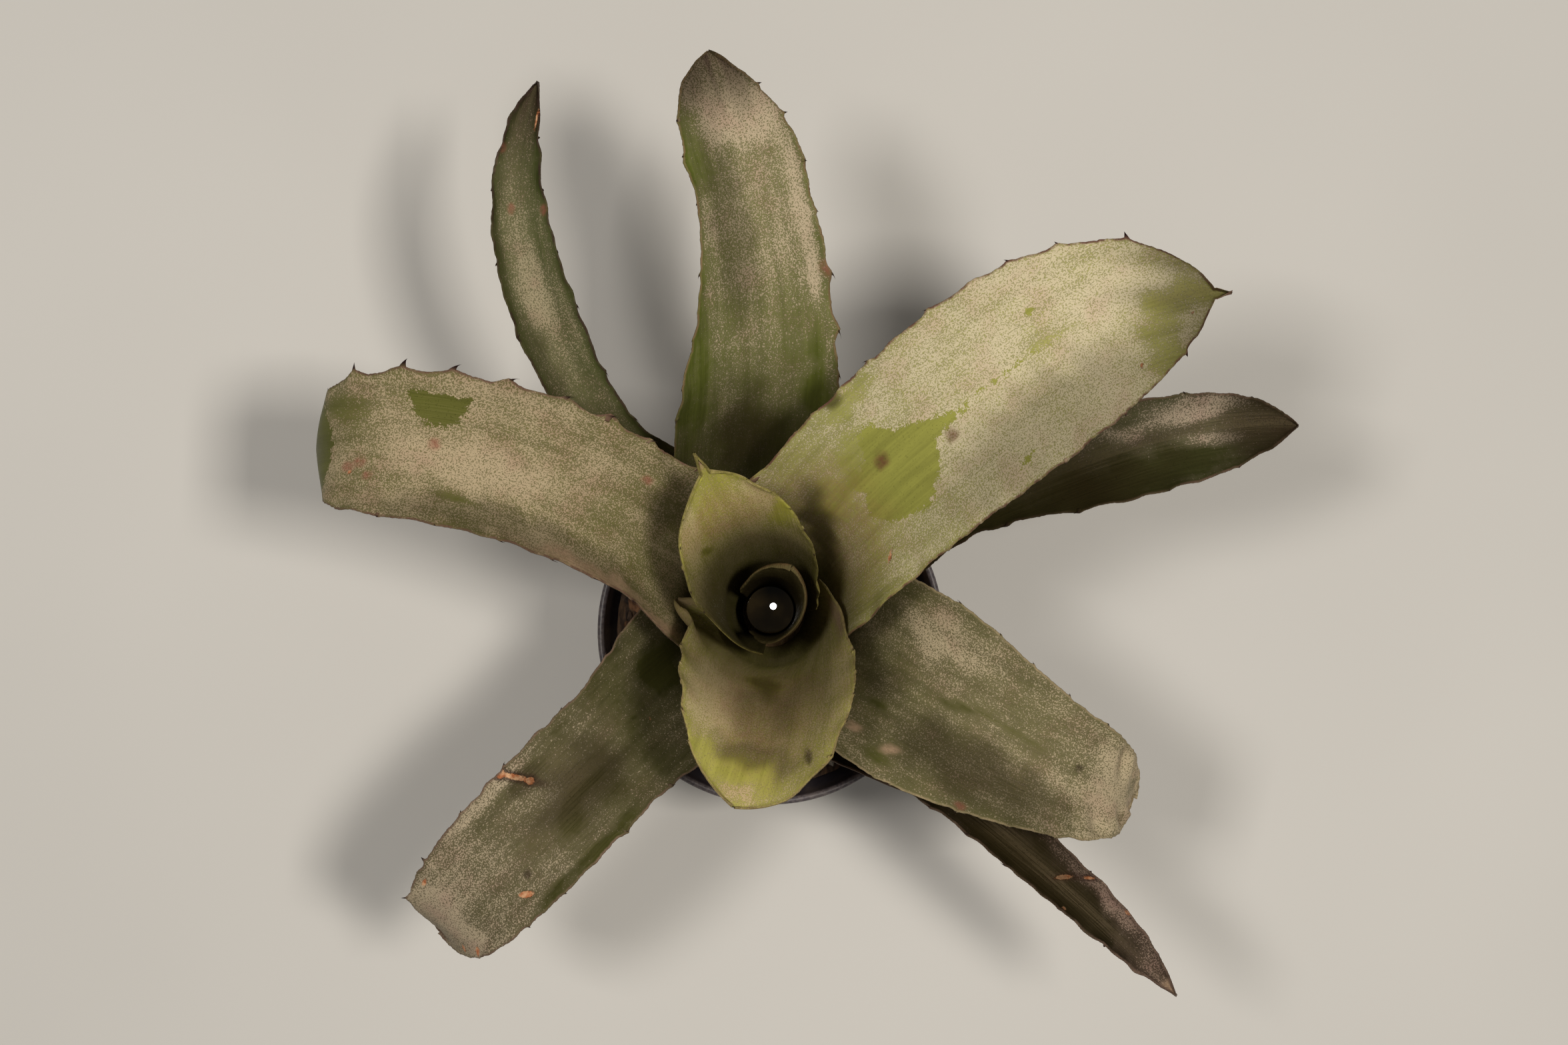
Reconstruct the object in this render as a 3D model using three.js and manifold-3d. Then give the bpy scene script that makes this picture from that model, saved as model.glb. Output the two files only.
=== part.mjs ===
// A tank bromeliad in a round nursery pot, modelled in millimetres with +Z up.
// The origin is the centre of the pot's flat underside, and +Y is the side that the plant leans to.
// Every leaf is a closed sheet: a sheath that wraps the plant's axis, and a channelled blade with
// hooked teeth on both margins. The sheaths nest inside each other and hold a little water.
import * as THREE from 'three';
import { mergeVertices } from 'three/addons/utils/BufferGeometryUtils.js';
import Module from 'manifold-3d';

const wasm = await Module();
wasm.setup();

const POT_RIM_RADIUS = 50;
const POT_HEIGHT = 88;
const POT_FOOT_RADIUS = 35.5;
const POT_WALL = 1.5;
const POT_FLOOR = 2;
const BAND_HEIGHT = 12.5;
const BAND_STEP = 1.6;
const DRAIN_HOLES = 8;
const DRAIN_RADIUS = 3.6;
const DRAIN_CIRCLE = 25;
const POT_SIDES = 56;

const SOIL_LEVEL = 78;
const SOIL_GAP = 0.3;
const SOIL_BUMP = 0.9;

const PLANT_Y = 5;
const PLANT_LEAN = 2.5;

const STEM_RADIUS = 5.4;
const STEM_DEPTH = 22;
const CROWN_TOP = 6;
const CROWN_FALL = 0.4;
const CROWN_GAP = 0.4;

// The sheaths are cones round the plant's axis. Each older one is wider and leans further out.
const SHEATH_CORE = 6.6;
const SHEATH_PITCH = 1.5;
const SHEATH_FLARE = 0.03;
const SHEATH_FLARE_STEP = 0.06;
const SHEATH_THICK = 1.0;

const BLADE_THICK = 1.5;
const TIP_THICK = 0.9;
const MARGIN_THICK = 0.6;
const TOOTH_THICK = 0.35;
const TOOTH_BASE = 0.5;

const WATER_LEVEL = 36;
const WATER_GAP = 0.4;

const GREY_GREEN = 0x8f9168;
const YELLOW_GREEN = 0xa9ad52;
const DULL_OLIVE = 0x6a6a48;

// One row a leaf, youngest first. Angles are in degrees and sizes in millimetres.
// azimuth: the way the blade points. mouth: height where the sheath ends. wrap: half the sheath's
// turn, with lap the turn by which it is wound on past the blade. rise, swing and roll run evenly
// from the sheath to the tip: elevation, heading off the azimuth, and the turn about the midrib.
// width: half the blade's breadth, with half its share along the leaf. channel: radius of the
// trough, reached by the share open. shoulder: share in which the sheath narrows to the blade.
// curlLeft and curlRight: how far the margins curl up, from the sheath to the tip. wave: height
// of the margin's ripple. columns and rows: cells across the sheet and along the blade.
// point: the two powers of the tip's outline. mucro: length of the point. left and right: widths of
// the two sides as shares of the half width. teethLeft and teethRight: place and length of each
// tooth on a margin. ear: place, length and reach of a lobe on the right margin.
const LEAVES = [
  { azimuth: 60, mouth: 58, wrap: 142, lap: -50, length: 22, rise: [86, 82, 79, 77],
    width: 16, channel: 9, shoulder: 0.9, point: [3, 0.7], columns: 12, rows: 6,
    color: YELLOW_GREEN },
  { azimuth: 116, mouth: 50, wrap: 132, lap: 14, length: 65, rise: [86, 64, 54, 58],
    swing: [0, 0, 0, 6], width: 27, channel: 19.5, open: 0.65, shoulder: 0.38, point: [3, 0.9],
    mucro: 8, columns: 14,
    teethLeft: [[0.4, 0.8], [0.49, 0.7], [0.58, 0.9], [0.66, 0.7], [0.75, 0.8]],
    teethRight: [[0.42, 0.7], [0.52, 0.9], [0.61, 0.7], [0.7, 0.8], [0.78, 0.7]],
    rows: 12, color: YELLOW_GREEN },
  { azimuth: 267, mouth: 42, wrap: 112, lap: 13, length: 71, rise: [82, 68, 50, 20],
    swing: [0, -3, -9, -20], width: 27.8, channel: 30, open: 0.5, shoulder: 0.3,
    point: [4.5, 0.65], ear: [0.07, 0.25, 10],
    teethLeft: [[0.36, 0.8], [0.46, 0.7], [0.57, 0.9], [0.67, 0.8], [0.78, 0.8]],
    teethRight: [[0.34, 0.7], [0.44, 0.9], [0.55, 0.7], [0.65, 0.9], [0.76, 1], [0.86, 0.8]],
    rows: 13, color: YELLOW_GREEN },
  { azimuth: 51, mouth: 36, wrap: 102, length: 160, rise: [78, 42, 14, -8],
    swing: [0, -10, -19, -46], width: 27, half: [1.25, 0.98, 1.01, 0.9], channel: 60,
    shoulder: 0.25, point: [8, 0.8], mucro: 4,
    teethLeft: [[0.22, 3.4], [0.35, 1.1], [0.47, 1.7], [0.585, 1.6],
      [0.71, 1.8], [0.775, 1.8], [0.86, 3]],
    teethRight: [[0.38, 1], [0.5, 1], [0.625, 1.2], [0.757, 1.2], [0.9, 2.2]],
    color: GREY_GREEN },
  { azimuth: 147.5, mouth: 32, wrap: 98, length: 143, rise: [76, 44, 14, -5, -74],
    swing: [-4, 5, 23, 34], width: 21.3, half: [0.95, 1, 1, 0.76], channel: 45,
    point: [18, 0.7], curlLeft: [9, 6, 4, -2.5], curlRight: [1.2, 1.2, 1.2, -3], shoulder: 0.3,
    teethLeft: [[0.275, 2.6], [0.36, 2.4], [0.44, 2.2], [0.54, 1.8], [0.67, 0.8], [0.775, 1.2]],
    teethRight: [[0.27, 2.2], [0.36, 2], [0.436, 3.6], [0.508, 3.8], [0.595, 4],
      [0.684, 4.4], [0.76, 4.4], [0.85, 3.6], [0.94, 2.2]],
    color: GREY_GREEN },
  { azimuth: 332, mouth: 28, wrap: 78, length: 118, rise: [74, 40, 10, -20, -85],
    swing: [0, -5, 3, 15], width: 25, half: [1.15, 1.12, 0.8, 0.66], channel: 50,
    shoulder: 0.3, wave: 0.6,
    teethLeft: [[0.34, 1.6], [0.44, 0.8], [0.535, 1.1], [0.64, 1.1], [0.75, 0.8]],
    teethRight: [[0.41, 0.9], [0.54, 1], [0.64, 1.1], [0.74, 0.8]],
    color: GREY_GREEN },
  { azimuth: 93, mouth: 20, wrap: 80, lap: 7, length: 150, rise: [72, 36, 16, 0],
    swing: [0, -6, 8, 15], roll: [0, 5, 10, 10], width: 17, half: [1.1, 1.05, 1, 1],
    left: [1, 0.95, 1.25, 1.47, 1.22, 0.98, 1.12, 1.45],
    right: [1, 1, 1.05, 1.05, 1.03, 1.02, 1.03, 0.7], channel: 34, shoulder: 0.5,
    point: [10, 0.8], wave: 0.9,
    teethLeft: [[0.37, 1.6], [0.425, 1.1], [0.51, 1], [0.625, 1.8],
      [0.745, 0.9], [0.83, 0.9], [0.89, 1.6]],
    teethRight: [[0.425, 1.5], [0.5, 3.6], [0.59, 2.8], [0.69, 0.9],
      [0.775, 1], [0.86, 1.6], [0.92, 1.6]],
    color: GREY_GREEN },
  { azimuth: 221, mouth: 20, wrap: 74, length: 129, rise: [68, 34, 6, -18, -85],
    swing: [0, 4, 5, 4], width: 18.6, half: [1, 1, 0.98, 0.78], channel: 45,
    point: [12, 0.8], wave: 0.5,
    teethLeft: [[0.33, 1.2], [0.46, 1.2], [0.63, 1], [0.73, 1]],
    teethRight: [[0.25, 1.4], [0.38, 1], [0.535, 1.6], [0.66, 1.2], [0.785, 1.8], [0.89, 2.4]],
    color: DULL_OLIVE },
  { azimuth: 26.7, mouth: 17, wrap: 62, length: 140, rise: [60, 24, 6, -4],
    swing: [0, -3, -10, -28], width: 16, half: [0.75, 0.85, 1.03, 1.12],
    left: [1, 1, 1, 0.95, 0.88, 1.05], right: [0.5, 0.5, 0.56, 0.93, 1.1, 1.05], channel: 19,
    point: [6, 0.85],
    teethLeft: [[0.5, 0.9], [0.65, 0.8], [0.79, 1.3], [0.91, 0.6]],
    teethRight: [[0.4, 2], [0.54, 2], [0.72, 0.8], [0.87, 1.1]],
    color: DULL_OLIVE },
  { azimuth: 131, mouth: 14, wrap: 60, length: 153, rise: [56, 24, 8, 0],
    swing: [0, -1, -28, -62], width: 12, half: [0.67, 0.8, 0.72, 0.68],
    right: [1, 0.9, 0.7, 0.92, 1.35, 1.3, 1.05, 1], channel: 13, point: [8, 0.8],
    teethLeft: [[0.45, 1], [0.56, 0.8], [0.68, 1.1], [0.8, 0.8]],
    teethRight: [[0.33, 2], [0.435, 2], [0.57, 1.6], [0.68, 1.2], [0.8, 0.9], [0.9, 0.6]],
    color: DULL_OLIVE },
  { azimuth: 311, mouth: 12, wrap: 57, length: 135, rise: [52, 20, 2, -8],
    swing: [0, 10, 8, 0], width: 11.5, half: [1.1, 1, 0.95, 0.9],
    left: [1, 1, 0.97, 0.9, 0.95, 1.05], right: [1, 1, 0.68, 0.72, 0.82, 0.95], channel: 10.5,
    point: [5, 0.9],
    teethLeft: [[0.5, 0.8], [0.6, 0.7], [0.7, 0.8], [0.8, 0.7], [0.91, 0.6]],
    teethRight: [[0.38, 1.6], [0.47, 2.2], [0.565, 2.2], [0.7, 1], [0.82, 0.7]],
    color: DULL_OLIVE },
];

const LEVEL_TRACK = [0, 0];
const EVEN_TRACK = [1, 1];
const BLUNT_POINT = [7, 0.8];
const SLIGHT_CURL = [1.2, 1.2];
const SLIGHT_WAVE = 0.3;
const NO_EAR = [1, 1, 0];
const WAVE_LENGTH = 26;
const MUCRO_HALF = 1.6;
const MARCH_STEPS = 160;
const PLAIN_STATIONS = [0.09, 0.16, 0.23, 0.3, 0.37, 0.44, 0.51, 0.58, 0.65, 0.72, 0.78, 0.84, 0.9];
const PLANT_AXIS = new THREE.Vector3(0, 0, 1);

const toRadians = THREE.MathUtils.degToRad;

function smooth(x) {
  const t = Math.min(Math.max(x, 0), 1);
  return t * t * (3 - 2 * t);
}

// A smooth curve through evenly spaced values.
function along(values, t) {
  const last = values.length - 1;
  const x = Math.min(Math.max(t, 0), 1) * last;
  const i = Math.min(Math.floor(x), last - 1);
  const f = x - i;
  const b = values[i];
  const c = values[i + 1];
  const a = i > 0 ? values[i - 1] : 2 * b - c;
  const d = i + 2 <= last ? values[i + 2] : 2 * c - b;
  return 0.5 * (2 * b + (c - a) * f + (2 * a - 5 * b + 4 * c - d) * f * f
    + (3 * b - a - 3 * c + d) * f * f * f);
}

function sheathFlare(order) {
  return SHEATH_FLARE + SHEATH_FLARE_STEP * order;
}

function sheathRadius(order, up) {
  return SHEATH_CORE + SHEATH_PITCH * order + sheathFlare(order) * up;
}

// Height of the stem's crown under the foot of a sheath.
function sheathFoot(order) {
  return CROWN_TOP - CROWN_FALL * SHEATH_PITCH * order;
}

function blend(a, b, t) {
  return a + (b - a) * t;
}

// The leaf's middle surface. t runs from -1 at the foot, over 0 at the sheath's mouth, to 1 at
// the tip, and v from -1 at the right margin to 1 at the left one.
class LeafSurface {
  constructor(row, order) {
    this.order = order;
    this.row = row;
    this.swing = row.swing ?? LEVEL_TRACK;
    this.roll = row.roll ?? LEVEL_TRACK;
    this.half = row.half ?? EVEN_TRACK;
    this.point = row.point ?? BLUNT_POINT;
    this.shoulder = row.shoulder ?? 0.35;
    this.open = row.open ?? 0.45;
    this.wrap = toRadians(row.wrap);
    this.lap = toRadians(row.lap ?? 0);
    this.foot = sheathFoot(order);
    this.mouthRadius = sheathRadius(order, row.mouth);
    this.slope = 90 - THREE.MathUtils.radToDeg(Math.atan(sheathFlare(order)));
    this.march();
  }

  rise(t) {
    const wanted = along(this.row.rise, t);
    return blend(this.slope, wanted, smooth(t / 0.12));
  }

  march() {
    const here = new THREE.Vector3(this.mouthRadius, 0, this.row.mouth);
    const step = this.row.length / MARCH_STEPS;
    this.midrib = [here.clone()];
    for (let k = 0; k < MARCH_STEPS; k++) {
      const t = (k + 0.5) / MARCH_STEPS;
      here.addScaledVector(this.heading(t), step);
      this.midrib.push(here.clone());
    }
  }

  heading(t) {
    const e = toRadians(this.rise(t));
    const h = toRadians(along(this.swing, t));
    return new THREE.Vector3(
      Math.cos(e) * Math.cos(h), Math.cos(e) * Math.sin(h), Math.sin(e));
  }

  halfWidth(t) {
    const end = bodyShare(this.row);
    const [a, b] = this.point;
    const body = this.row.width * along(this.half, t) * Math.max(1 - (t / end) ** a, 0) ** b;
    const spike = end < 1 ? MUCRO_HALF * Math.min((1 - t) / (1 - end), 1) : 0;
    const blade = Math.max(body, spike);
    return blend(this.wrap * this.mouthRadius, blade, smooth(t / this.shoulder));
  }

  // How wide one side of the blade is, as a share of the half width.
  sideShare(t, v) {
    const { left = EVEN_TRACK, right = EVEN_TRACK } = this.row;
    return blend(1, along(v > 0 ? left : right, t), smooth(t / 0.12));
  }

  at(t, v) {
    if (t <= 0) {
      return this.sheathAt(blend(this.row.mouth, this.foot, -t), v);
    }
    const x = Math.min(t, 1) * MARCH_STEPS;
    const i = Math.min(Math.floor(x), MARCH_STEPS - 1);
    const middle = this.midrib[i].clone().lerp(this.midrib[i + 1], x - i);
    const tangent = this.heading(t);
    const h = toRadians(along(this.swing, t));
    const side = new THREE.Vector3(-Math.sin(h), Math.cos(h), 0);
    const inward = new THREE.Vector3(-Math.cos(h), -Math.sin(h), 0);
    const up = tangent.clone().cross(side);
    const depth = inward.lerp(up, smooth(t / 0.3)).normalize();
    const roll = toRadians(along(this.roll, t));
    side.applyAxisAngle(tangent, roll);
    depth.applyAxisAngle(tangent, roll);
    const bend = blend(1 / this.mouthRadius, 1 / this.row.channel, smooth(t / this.open));
    const lap = this.lap * (1 - smooth(t / this.shoulder));
    const theta = v * this.sideShare(t, v) * this.halfWidth(t) * bend + lap;
    const { curlLeft = SLIGHT_CURL, curlRight = SLIGHT_CURL } = this.row;
    const curl = along(v > 0 ? curlLeft : curlRight, t) * smooth((t - 0.1) / 0.25) * v ** 4;
    const lobe = this.earReach(t, v);
    middle.addScaledVector(side, Math.sin(theta) / bend - 0.3 * curl * v - lobe);
    middle.addScaledVector(depth, (1 - Math.cos(theta)) / bend + curl + this.ripple(t, v));
    return middle.applyAxisAngle(PLANT_AXIS, toRadians(this.row.azimuth));
  }

  sheathAt(up, v) {
    const radius = sheathRadius(this.order, up);
    const angle = toRadians(this.row.azimuth) + v * this.wrap + this.lap;
    return new THREE.Vector3(radius * Math.cos(angle), radius * Math.sin(angle), up);
  }

  // How far the lobe at the foot of the right margin turns out.
  earReach(t, v) {
    const { ear = NO_EAR } = this.row;
    const [place, span, reach] = ear;
    return reach * smooth(t / place) * smooth(1 - (t - place) / span) * smooth(-2 * v - 1);
  }

  ripple(t, v) {
    const { wave = SLIGHT_WAVE, length } = this.row;
    const phase = 1.7 * this.order + (v > 0 ? 2.1 : 0);
    const turn = 2 * Math.PI * length * t / WAVE_LENGTH + phase;
    return wave * Math.sin(turn) * Math.abs(v) ** 5 * smooth(t / 0.4);
  }

  // Unit vectors at a place: across the sheet to its hollow side, outward along v, and forward.
  frame(t, v) {
    const dt = 0.004;
    const dv = 0.01;
    const t0 = Math.max(t - dt, -1);
    const t1 = Math.min(t + dt, 0.999);
    const forward = this.at(t1, v).sub(this.at(t0, v));
    const across = this.at(t, Math.min(v + dv, 1)).sub(this.at(t, Math.max(v - dv, -1)));
    const normal = forward.clone().cross(across).normalize();
    return { normal, across: across.normalize(), forward: forward.normalize() };
  }

  halfThickness(t, v) {
    const middle = t <= 0 ? SHEATH_THICK : blend(SHEATH_THICK, BLADE_THICK, smooth(t / 0.25));
    const body = blend(middle, TIP_THICK, smooth((t - 0.7) / 0.3));
    const shape = t <= 0 ? 8 : blend(8, 3, smooth(t / 0.25));
    return 0.5 * blend(body, MARGIN_THICK, Math.abs(v) ** shape);
  }
}

// Share of the blade before the narrow point at its tip.
function bodyShare({ mucro = 0, length }) {
  return 1 - mucro / length;
}

// Stations along one margin: plain points, and the two ends of each tooth's base.
function marginStations(leaf, teeth) {
  const stations = [{ t: -1 }, { t: -0.02 }];
  const clear = [];
  for (const [t, size] of teeth) {
    const reach = TOOTH_BASE * size / leaf.row.length;
    stations.push({ t: t - reach, size });
    stations.push({ t: t + reach });
    clear.push([t - 2 * reach, t + 2 * reach]);
  }
  const tail = bodyShare(leaf.row);
  for (const share of [...PLAIN_STATIONS, 0.955, 0.985, 0.996]) {
    const t = share * tail;
    if (clear.every(([low, high]) => t < low || t > high)) {
      stations.push({ t });
    }
  }
  return stations.sort((a, b) => a.t - b.t);
}

// How far a tooth leans back towards the foot, as a share of its height. The lowest lean most.
function hookLean(t) {
  return Math.min(Math.max(0.1 + 3 * (0.85 - t), 0), 1.2);
}

function rowStations(leaf) {
  const count = leaf.row.rows ?? 17;
  const tail = bodyShare(leaf.row);
  const stations = [-1];
  for (let i = 0; i < count; i++) {
    stations.push((1 - (1 - i / count) ** 1.4) * tail);
  }
  if (tail < 1) {
    stations.push(tail * 0.995);
  }
  return stations;
}

// Triangles between two rows of points that end in the same last point.
function zipper(a, b) {
  const triangles = [];
  let i = 0;
  let j = 0;
  while (i < a.length - 1 || j < b.length - 1) {
    const moveA = j === b.length - 1 || (i < a.length - 1 && a[i + 1].t <= b[j + 1].t);
    const next = moveA ? a[i + 1] : b[j + 1];
    if (next.id !== a[i].id && next.id !== b[j].id) {
      triangles.push([a[i].id, b[j].id, next.id]);
    }
    if (moveA) {
      i++;
    } else {
      j++;
    }
  }
  return triangles;
}

function leafGeometry(row, order) {
  const leaf = new LeafSurface(row, order);
  const columns = row.columns ?? 10;
  const points = [];

  // Each place gives two points: one on the hollow face and one on the back.
  function addPair(middle, normal, half) {
    points.push(middle.clone().addScaledVector(normal, half));
    points.push(middle.clone().addScaledVector(normal, -half));
    return points.length / 2 - 1;
  }

  function addPlace(t, v) {
    return addPair(leaf.at(t, v), leaf.frame(t, v).normal, leaf.halfThickness(t, v));
  }

  function addToothTip(t, v, size) {
    const { normal, across, forward } = leaf.frame(t, v);
    const lean = hookLean(t);
    const out = across.multiplyScalar(v).addScaledVector(forward, -lean);
    const tip = leaf.at(t, v).addScaledVector(out.normalize(), size);
    return addPair(tip.addScaledVector(normal, 0.12 * size), normal, TOOTH_THICK / 2);
  }

  // A margin's line of points, its outline over the teeth, and the three corners of each tooth.
  function addMargin(v, teeth) {
    const stations = marginStations(leaf, teeth);
    const line = stations.map(({ t }) => ({ t, id: addPlace(t, v) }));
    const outline = [];
    const horns = [];
    stations.forEach(({ t, size }, k) => {
      outline.push(line[k].id);
      if (size) {
        const tip = addToothTip(t + TOOTH_BASE * size / row.length, v, size);
        outline.push(tip);
        horns.push([line[k].id, line[k + 1].id, tip]);
      }
    });
    return { line, outline, horns };
  }

  const rows = rowStations(leaf);
  const inner = [];
  for (let j = 1; j < columns; j++) {
    const v = -1 + 2 * j / columns;
    inner.push(rows.map((t) => ({ t, id: addPlace(t, v) })));
  }
  const right = addMargin(-1, row.teethRight ?? []);
  const left = addMargin(1, row.teethLeft ?? []);
  const lines = [right.line, ...inner, left.line];
  const tip = { t: 2, id: points.length / 2 };
  for (const line of lines) {
    line.push(tip);
  }

  // Pair k has its hollow side at 2k and its back at 2k + 1. The tip is one point for both.
  const faces = [...right.horns, ...left.horns.map(([a, b, c]) => [b, a, c])];
  for (let j = 0; j + 1 < lines.length; j++) {
    faces.push(...zipper(lines[j], lines[j + 1]));
  }
  const triangles = [];
  const front = (id) => 2 * id;
  const back = (id) => (id === tip.id ? 2 * id : 2 * id + 1);
  for (const [a, b, c] of faces) {
    triangles.push([front(a), front(b), front(c)]);
    triangles.push([back(a), back(c), back(b)]);
  }
  const foot = inner.map((line) => line[0].id);
  const rim = [tip.id, ...left.outline.reverse(), ...foot.reverse(), ...right.outline];
  for (let k = 0; k < rim.length; k++) {
    const a = rim[k];
    const b = rim[(k + 1) % rim.length];
    triangles.push([front(a), front(b), back(a)]);
    triangles.push([back(a), front(b), back(b)]);
  }
  points.push(leaf.at(0.9999, 0));
  return closedGeometry(points, triangles.filter(([a, b, c]) => a !== b && b !== c && c !== a));
}

// A geometry with shared points, turned so that its faces point out.
function closedGeometry(points, triangles) {
  let volume = 0;
  const cross = new THREE.Vector3();
  for (const [a, b, c] of triangles) {
    volume += points[a].dot(cross.crossVectors(points[b], points[c]));
  }
  const index = volume > 0 ? triangles.flat() : triangles.flatMap(([a, b, c]) => [a, c, b]);
  const geometry = new THREE.BufferGeometry();
  const position = points.flatMap((p) => [p.x, p.y, p.z]);
  geometry.setAttribute('position', new THREE.Float32BufferAttribute(position, 3));
  geometry.setIndex(index);
  geometry.computeVertexNormals();
  return geometry;
}

// A solid of revolution about +Z from [radius, height] pairs that start and end on the axis.
function turned(profile, sides) {
  const outline = profile.map(([radius, height]) => new THREE.Vector2(radius, height));
  const geometry = new THREE.LatheGeometry(outline, sides);
  geometry.rotateX(Math.PI / 2);
  return welded(geometry);
}

function welded(geometry) {
  geometry.deleteAttribute('normal');
  geometry.deleteAttribute('uv');
  return mergeVertices(geometry, 1e-4);
}

function toSolid(geometry) {
  return new wasm.Manifold(new wasm.Mesh({
    numProp: 3,
    vertProperties: new Float32Array(geometry.attributes.position.array),
    triVerts: new Uint32Array(geometry.index.array),
  }));
}

function fromSolid(solid) {
  const mesh = solid.getMesh();
  const geometry = new THREE.BufferGeometry();
  geometry.setAttribute('position', new THREE.BufferAttribute(mesh.vertProperties, 3));
  geometry.setIndex(new THREE.BufferAttribute(mesh.triVerts, 1));
  geometry.computeVertexNormals();
  return geometry;
}

function potInnerRadius(z) {
  const bandFoot = POT_HEIGHT - BAND_HEIGHT;
  const share = (z - POT_FLOOR) / (bandFoot - POT_FLOOR);
  const top = POT_RIM_RADIUS - 1 - BAND_STEP - POT_WALL - 1.2;
  return blend(POT_FOOT_RADIUS - POT_WALL, top, share);
}

function potGeometry() {
  const bandFoot = POT_HEIGHT - BAND_HEIGHT;
  const wallTop = potInnerRadius(bandFoot);
  const bandInner = POT_RIM_RADIUS - POT_WALL - 1.6;
  const profile = [
    [0, 0], [POT_FOOT_RADIUS - 1, 0], [POT_FOOT_RADIUS, 1],
    [wallTop + POT_WALL, bandFoot], [POT_RIM_RADIUS - 1.6, bandFoot + 0.8],
    [POT_RIM_RADIUS - 0.5, POT_HEIGHT - 2.2], [POT_RIM_RADIUS, POT_HEIGHT - 1.4],
    [POT_RIM_RADIUS - 0.3, POT_HEIGHT - 0.2], [POT_RIM_RADIUS - 1, POT_HEIGHT],
    [POT_RIM_RADIUS - POT_WALL - 0.4, POT_HEIGHT - 0.7],
    [bandInner, bandFoot + 2.5], [wallTop, bandFoot],
    [POT_FOOT_RADIUS - POT_WALL, POT_FLOOR + 0.6], [POT_FOOT_RADIUS - POT_WALL - 0.8, POT_FLOOR],
    [0, POT_FLOOR],
  ];
  let pot = toSolid(turned(profile, POT_SIDES));
  for (let k = 0; k < DRAIN_HOLES; k++) {
    const angle = 2 * Math.PI * (k + 0.5) / DRAIN_HOLES;
    const drill = turned([[0, -1], [DRAIN_RADIUS, -1], [DRAIN_RADIUS, 4], [0, 4]], 12);
    drill.translate(DRAIN_CIRCLE * Math.cos(angle), DRAIN_CIRCLE * Math.sin(angle), 0);
    pot = pot.subtract(toSolid(drill));
  }
  return fromSolid(pot);
}

// The pot's filling, with a low uneven top and a recess for the crown, the sheaths and the stem.
function soilGeometry() {
  const bandFoot = POT_HEIGHT - BAND_HEIGHT;
  const edge = potInnerRadius(bandFoot) - SOIL_GAP;
  const bottom = POT_FOOT_RADIUS - POT_WALL - SOIL_GAP;
  const profile = [
    [0, POT_FLOOR + SOIL_GAP], [bottom - 1, POT_FLOOR + SOIL_GAP], [bottom, POT_FLOOR + 1.6],
    [edge, bandFoot - 0.4], [edge + 0.6, SOIL_LEVEL - 0.6], [edge - 2, SOIL_LEVEL],
    [40, SOIL_LEVEL], [36, SOIL_LEVEL], [32, SOIL_LEVEL], [28, SOIL_LEVEL], [22, SOIL_LEVEL],
    [0, SOIL_LEVEL],
  ];
  const soil = turned(profile, 44);
  const position = soil.attributes.position;
  for (let i = 0; i < position.count; i++) {
    const x = position.getX(i);
    const y = position.getY(i);
    const z = position.getZ(i);
    const r = Math.hypot(x, y);
    if (z > SOIL_LEVEL - 0.1 && r < edge - 1.5 && r > 1) {
      const bump = Math.sin(0.83 * x + 1.9 * Math.sin(0.31 * y)) * Math.cos(0.71 * y - 0.4 * x)
        + 0.6 * Math.sin(1.7 * x - 1.3 * y);
      position.setZ(i, z + SOIL_BUMP * bump);
    }
  }
  const oldest = LEAVES.length - 1;
  const outer = crownRadius();
  const foot = sheathFoot(oldest);
  const recess = turned([
    [0, -STEM_DEPTH - 0.8], [STEM_RADIUS + 0.4, -STEM_DEPTH - 0.8], [STEM_RADIUS + 0.4, -6.2],
    [outer - 6, -4.9], [outer + 0.5, -3.8], [outer + 0.7, foot - 0.5],
    [outer + 0.7 + 12 * sheathFlare(oldest), foot + 11.5], [0, foot + 11.5],
  ], 44);
  recess.applyMatrix4(plantMatrix());
  return fromSolid(toSolid(soil).subtract(toSolid(recess)));
}

function crownRadius() {
  return SHEATH_CORE + SHEATH_PITCH * (LEAVES.length - 1) + SHEATH_THICK / 2 + 0.1;
}

// The short stem: a cone that the leaves grow from, on a stub in the soil.
function stemGeometry() {
  const outer = crownRadius();
  const foot = (radius) => CROWN_TOP - CROWN_FALL * (radius - SHEATH_CORE) - CROWN_GAP;
  return turned([
    [0, -STEM_DEPTH - 0.4], [STEM_RADIUS - 1.6, -STEM_DEPTH - 0.2], [STEM_RADIUS, -STEM_DEPTH + 2],
    [STEM_RADIUS, -5.6], [outer - 6, -4.4], [outer, -3.2], [outer + 0.1, foot(outer) - 0.2],
    [outer - 1, foot(outer - 1)], [SHEATH_CORE - 1.2, foot(SHEATH_CORE - 1.2)],
    [0, foot(SHEATH_CORE - 1.2) + 0.1],
  ], 36);
}

function waterGeometry() {
  const radius = (up) => sheathRadius(0, up) - SHEATH_THICK / 2 - WATER_GAP - 0.25;
  const bottom = CROWN_TOP + 0.9;
  return turned([
    [0, bottom], [radius(bottom) - 0.6, bottom], [radius(bottom), bottom + 0.6],
    [radius(WATER_LEVEL), WATER_LEVEL + 0.25], [radius(WATER_LEVEL) - 1, WATER_LEVEL],
    [0, WATER_LEVEL],
  ], 28);
}

function plantMatrix() {
  const lean = new THREE.Matrix4().makeRotationX(toRadians(-PLANT_LEAN));
  return lean.setPosition(0, PLANT_Y, SOIL_LEVEL);
}

function addPiece(group, name, geometry, color, roughness) {
  const material = new THREE.MeshStandardMaterial({ color, roughness, metalness: 0 });
  const mesh = new THREE.Mesh(geometry, material);
  mesh.name = name;
  group.add(mesh);
}

const model = new THREE.Group();
addPiece(model, 'pot', potGeometry(), 0x26242a, 0.45);
addPiece(model, 'soil', soilGeometry(), 0x3a2c20, 0.95);

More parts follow.
